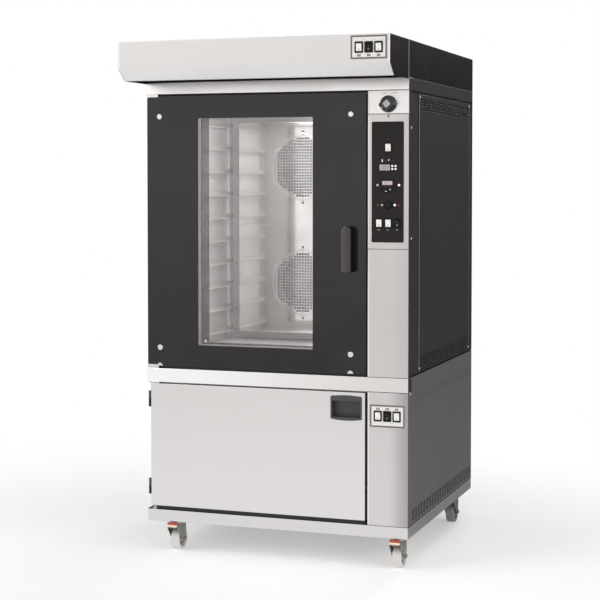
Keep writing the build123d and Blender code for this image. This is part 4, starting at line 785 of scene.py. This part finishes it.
# Bands of slots in the sides: (y from, y to), (z from, z to)
vent_bands = [((54, 922), (156, 204)), ((160, 871), (1551, 1611)), ((160, 871), (666, 715))]
upper_vent = ((54, 922), (560.5, 594.5))
band_sides = [(1624.5, 1664.5), (605.5, 653.5)]
seams = [(148, 150.5), (655, 658), (1618, 1621.5)]
for side, x, sign in SIDES:
    flank = face(side, x, 0, 0)
    strip(f"band_sides_{side}", flank, oven_paint,
          [(along(sign, 1.2, 45), z, 0.4) for z in band_sides])
    strip(f"hood_seam_{side}", flank, light_edge_and_highlight, [(along(sign, -3, 0.5), (1666, 1790), 0.6)])
    cover_z = (COVER_Z[0] + 1, COVER_Z[1] - 1)
    # Light strips on the cover's front and rear edges: painted highlights, fainter at the rear
    strip(f"cover_front_edge_{side}", flank, light_edge_and_highlight,
          [(along(sign, COVER_Y[0] + 0.3, COVER_Y[0] + 2.8), cover_z, 0.5)])
    strip(f"cover_rear_edge_{side}", flank, faint_edge_highlight,
          [(along(sign, COVER_Y[1] - 1.5, COVER_Y[1] - 0.3), cover_z, 0.4)])
    strip(f"side_seams_{side}", flank, joint_and_vent_shade,
          [(along(sign, 2, 943), z, 0.15) for z in seams])
    # Dark sheets behind the vent slots: painted shade
    plates(f"vent_shade_backs_{side}", flank, joint_and_vent_shade,
           [sheet(along(sign, *y), z, 0.3, -1.9) for y, z in vent_bands])
    plates(f"upper_vent_back_{side}", flank, proofer_paint,
           [sheet(along(sign, *upper_vent[0]), upper_vent[1], 0.3, -1.2)])

# Bent edge of the knob panel on the right side
strip("knob_panel_return", face("right", WIDTH, 0, 0), light_edge_and_highlight,
      [((1, 4), (KNOB_PANEL[0] + 1, KNOB_PANEL[1] - 0.5), 0.5)])

# Back: seams, a screwed service cover over the motors, screws along the sheets
back = face("back", WIDTH, BACK_PLANE, 0)
strip("back_seams", back, joint_and_vent_shade,
      [((2, 958), (653.5, 655.5), 0.15), ((2, 958), (1664, 1666), 0.15)])
plates("service_cover", back, oven_paint,
       [((WIDTH / 2, 1160), (620, 760, 1.2), 8, 0.6, 0, 0)])
back_places = [(x, z) for x in (190, 335, 480, 625, 770) for z in (792, 1528)]
back_places += [(x, z) for z in (976, 1160, 1344) for x in (182, 778)]
sheet_levels = (170, 310, 450, 590, 680, 840, 1000, 1160, 1320, 1480, 1640, 1690, 1770)
back_places += [(x, z) for x in (14, 946) for z in sheet_levels]
back_places += [(x, z) for x in (170, 325, 480, 635, 790) for z in (640, 670, 1650)]
screws("back_screws", back, SHEET_SCREW, back_places)

# Screws round the hood's roof
roof = Matrix.Translation(place(0, 0, HOOD_TOP)) @ Matrix.Scale(MM, 4)
roof_places = [(x, y) for x in (14, 247, 480, 713, 946) for y in (14, 931)]
roof_places += [(x, y) for y in (243, 472, 701) for x in (14, 946)]
screws("roof_screws", roof, SHEET_SCREW, roof_places)

# Bent ends of the visor, in the lighter steel that paints a highlight on them
for name, x in (("left", (0.5, 6)), ("right", (954, 959.5))):
    shape = bmesh.new()
    outline = [(VISOR_FRONT, HOOD_TOP - 0.5), (VISOR_FRONT, VISOR_FOLD),
               (VISOR_FRONT + VISOR_SLANT, VISOR_LIP)]
    outer = [shape.verts.new(place(x[0], y - 0.6, z - 0.3)) for y, z in outline]
    inner = [shape.verts.new(place(x[0], y + 0.6, z + 0.3)) for y, z in reversed(outline)]
    cap = shape.faces.new(outer + inner)
    swept = bmesh.ops.extrude_face_region(shape, geom=[cap])["geom"]
    bmesh.ops.translate(shape, verts=only_verts(swept), vec=((x[1] - x[0]) * MM, 0, 0))
    shape.transform(Matrix.Scale(1 / MM, 4))
    finish_piece(f"visor_end_{name}", shape, Matrix.Scale(MM, 4), bent_edge_highlight, "cabinet")

# Tinted strips and a screw on the inner pane
pane = face("front", 0, INNER_PANE_FRONT - 0.3, 0)
PANE_STRIP_EDGE = 225
strip("pane_strip", pane, pane_shade,
      [((WINDOW_X[0] + 0.5, PANE_STRIP_EDGE), (WINDOW_Z[0] + 0.5, WINDOW_Z[1] - 0.5), 0.6),
       ((PANE_STRIP_EDGE, WINDOW_X[1] - 0.5), (WINDOW_Z[0] + 0.5, 749), 0.6)], "oven_door")
lenses("pane_screw_cap", face("front", 0, INNER_PANE_FRONT - 0.5, 0), black_plastic,
       [(211, 753)], 4.5, 2.2, "oven_door")

# Rings, bolts and screws of the fan guards
BOLT_CIRCLE = 124.5
GUARD_SCREW_OFFSET = 134
guard_face = face("front", 0, GUARD_FRONT, 0)
guard_rings = bmesh.new()
guard_bolts = bmesh.new()
for height in FAN_HEIGHTS:
    turned(guard_rings, [(119.5, 0), (121.5, 0), (121.5, 0.5), (121, 0.8), (120, 0.8), (119.5, 0.5),
                         (119.5, 0)], (FAN_X, height), 96)
    for turn in range(30, 390, 60):
        at = (FAN_X + BOLT_CIRCLE * cos(radians(turn)), height + BOLT_CIRCLE * sin(radians(turn)))
        turned(guard_bolts, [(0, 3)] + [(r, z + 3) for r, z in domed(3.4, 1.6)[1:]], at, 16)
finish_piece("guard_rings", guard_rings, guard_face, guard_steel, "cabinet")
finish_piece("guard_bolts", guard_bolts, guard_face, stud_steel, "cabinet")
screws("guard_screws", face("front", 0, GUARD_FRONT + 2, 0), 4,
       [(FAN_X, height + side * GUARD_SCREW_OFFSET) for height in FAN_HEIGHTS for side in (-1, 1)],
       black_plastic)

# Wheel cores and pedal pads of the casters
caster_places = {"front_left": (98, 28), "front_right": (917, 28),
                 "rear_left": (98, 785), "rear_right": (917, 785)}
for corner, (x, y) in caster_places.items():
    core = bmesh.new()
    for side, _, sign in SIDES:
        disc = bmesh.new()
        turned(disc, [(12.2, -0.6), (26.8, -0.6), (26.8, 0.6), (24.5, 2.2), (14.5, 1.2), (12.2, 2.6),
                      (12.2, -0.6)], (0, 0), 48)
        for step in range(6):
            turn = radians(60 * step)
            rounded_slab(disc, 12.5, 2.2, 2.4, 0, 0.5, (19.5 * cos(turn), 19.5 * sin(turn)), 0.5, 60 * step)
        disc.transform(face(side, x + sign * WHEEL_HALF_WIDTH, y + CASTER_TRAIL, WHEEL_CENTRE))
        mesh = bpy.data.meshes.new("core_side")
        disc.to_mesh(mesh)
        core.from_mesh(mesh)
        disc.free()
        bpy.data.meshes.remove(mesh)
    core.transform(Matrix.Scale(1 / MM, 4))
    finish_piece(f"wheel_core_{corner}", core, Matrix.Scale(MM, 4), nylon_core, f"wheel_{corner}")
    if corner.startswith("front"):
        pedal_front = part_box(f"brake_pedal_{corner}")[0][1] / MM - FRONT_PLANE
        pad = face("front", x, pedal_front, 0)
        plates(f"pedal_pad_{corner}", pad, pedal_cream,
               [((0, 94.3), (35.5, 8, 1.2), 1.2, 0.5, -0.6, 0)], f"brake_{corner}")

# Camera where the photograph was taken from
CAMERA_PLACE = (1.851, -5.40115, 1.324)
CAMERA_DOWN = 2.23
CAMERA_TURN = 19.22
CAMERA_LENS = 93.36
CAMERA_SHIFT = -0.10
camera = bpy.data.objects.new("camera", bpy.data.cameras.new("camera"))
scene.collection.objects.link(camera)
camera.location = CAMERA_PLACE
camera.rotation_euler = (radians(90 - CAMERA_DOWN), 0, radians(CAMERA_TURN))
camera.data.lens = CAMERA_LENS
camera.data.sensor_width = 36
camera.data.shift_y = CAMERA_SHIFT
scene.camera = camera

# Floor: pale near the machine, evenly bright further out; steel mirrors it dimmer towards the back
FLOOR_RADIUS = 3.6
FLOOR_GLOW = 0.27
floor_shape = bmesh.new()
bmesh.ops.create_circle(floor_shape, cap_ends=True, segments=96, radius=FLOOR_RADIUS)
floor_mesh = bpy.data.meshes.new("floor")
floor_shape.to_mesh(floor_mesh)
floor_shape.free()
floor = bpy.data.objects.new("floor", floor_mesh)
scene.collection.objects.link(floor)
pale, pale_tree, pale_shader = started("pale_floor")
ground = pale_tree.nodes.new("ShaderNodeTexCoord")
grain = noise(pale_tree, ground.outputs["Object"], 3, 3)
pale_tree.links.new(mixed(pale_tree, grain, (0.90, 0.90, 0.90), (0.93, 0.93, 0.93)),
                    pale_shader.inputs["Base Color"])
pale_shader.inputs["Roughness"].default_value = 0.8
pale_shader.inputs["Emission Color"].default_value = (1, 1, 1, 1)
pale_shader.inputs["Emission Strength"].default_value = FLOOR_GLOW
reach = pale_tree.nodes.new("ShaderNodeVectorMath")
reach.operation = "LENGTH"
pale_tree.links.new(ground.outputs["Object"], reach.inputs[0])
far_floor = pale_tree.nodes.new("ShaderNodeEmission")
spread = pale_tree.nodes.new("ShaderNodeMixShader")
pale_tree.links.new(ranged(pale_tree, reach.outputs["Value"], 0.9, 2.6), spread.inputs["Fac"])
pale_tree.links.new(pale_shader.outputs["BSDF"], spread.inputs[1])
pale_tree.links.new(far_floor.outputs["Emission"], spread.inputs[2])
depth = pale_tree.nodes.new("ShaderNodeSeparateXYZ")
pale_tree.links.new(ground.outputs["Object"], depth.inputs["Vector"])
mirrored_floor = pale_tree.nodes.new("ShaderNodeEmission")
pale_tree.links.new(ranged(pale_tree, depth.outputs["Y"], -0.6, 0.3, 1.05, 0.25),
                    mirrored_floor.inputs["Strength"])
path = pale_tree.nodes.new("ShaderNodeLightPath")
by_ray = pale_tree.nodes.new("ShaderNodeMixShader")
pale_tree.links.new(path.outputs["Is Glossy Ray"], by_ray.inputs["Fac"])
pale_tree.links.new(spread.outputs["Shader"], by_ray.inputs[1])
pale_tree.links.new(mirrored_floor.outputs["Emission"], by_ray.inputs[2])
pale_tree.links.new(by_ray.outputs["Shader"], pale_tree.nodes["Material Output"].inputs["Surface"])
floor_mesh.materials.append(pale)


# Studio lights

def softbox(name, where, aim, size, power):
    """Square light aimed at a point: its size in metres, its power in watts."""
    light = bpy.data.lights.new(name, "AREA")
    light.size = size
    light.energy = power
    lamp = bpy.data.objects.new(name, light)
    lamp.location = where
    lamp.rotation_euler = (Vector(aim) - Vector(where)).to_track_quat("-Z", "Y").to_euler()
    scene.collection.objects.link(lamp)
    return lamp


softbox("key_light", (-3.0, -3.4, 4.4), (0, 0, 0.9), 2.2, 45)
softbox("right_light", (4.2, -1.0, 2.6), (0.4, 0, 0.9), 1.6, 16)
softbox("rear_light", (0.6, 5.0, 3.6), (0, 0, 0.9), 2.2, 90)
softbox("cavity_light", place(400, 250, 1560), place(400, 300, 900), 0.25, 0.9)
for name, height in (("upper", 1340), ("lower", 930)):
    fill = softbox(f"window_fill_{name}", place(400, 46, height), place(400, 400, height), 0.34, 1.1)
    fill.visible_camera = False
    fill.visible_glossy = False

# Studio room: bright in front, dim behind, and plain white where the camera sees it
studio = bpy.data.worlds.new("studio")
scene.world = studio
studio.use_nodes = True
sky = studio.node_tree
direction = sky.nodes.new("ShaderNodeTexCoord")
split = sky.nodes.new("ShaderNodeSeparateXYZ")
sky.links.new(direction.outputs["Generated"], split.inputs["Vector"])
rise = ranged(sky, split.outputs["Z"], -0.14, 0.02, 0.75, 1.12)
upper = ranged(sky, split.outputs["Z"], 0.25, 0.9, 1.0, 0.65)
behind = ranged(sky, split.outputs["Y"], -0.2, 0.6, 1.0, 0.12)
strength = arithmetic(sky, "MULTIPLY", arithmetic(sky, "MULTIPLY", rise, upper), behind)
seen = sky.nodes.new("ShaderNodeLightPath")
room = sky.nodes["Background"]
room.inputs["Color"].default_value = (1.0, 0.985, 0.975, 1)
sky.links.new(strength, room.inputs["Strength"])
backdrop = sky.nodes.new("ShaderNodeBackground")
backdrop.inputs["Color"].default_value = (1, 1, 1, 1)
backdrop.inputs["Strength"].default_value = 1.0
chosen = sky.nodes.new("ShaderNodeMixShader")
sky.links.new(seen.outputs["Is Camera Ray"], chosen.inputs["Fac"])
sky.links.new(room.outputs["Background"], chosen.inputs[1])
sky.links.new(backdrop.outputs["Background"], chosen.inputs[2])
sky.links.new(chosen.outputs["Shader"], sky.nodes["World Output"].inputs["Surface"])

scene.view_settings.view_transform = "Standard"
scene.cycles.use_denoising = True
scene.cycles.transparent_max_bounces = 24

bpy.context.view_layer.update()
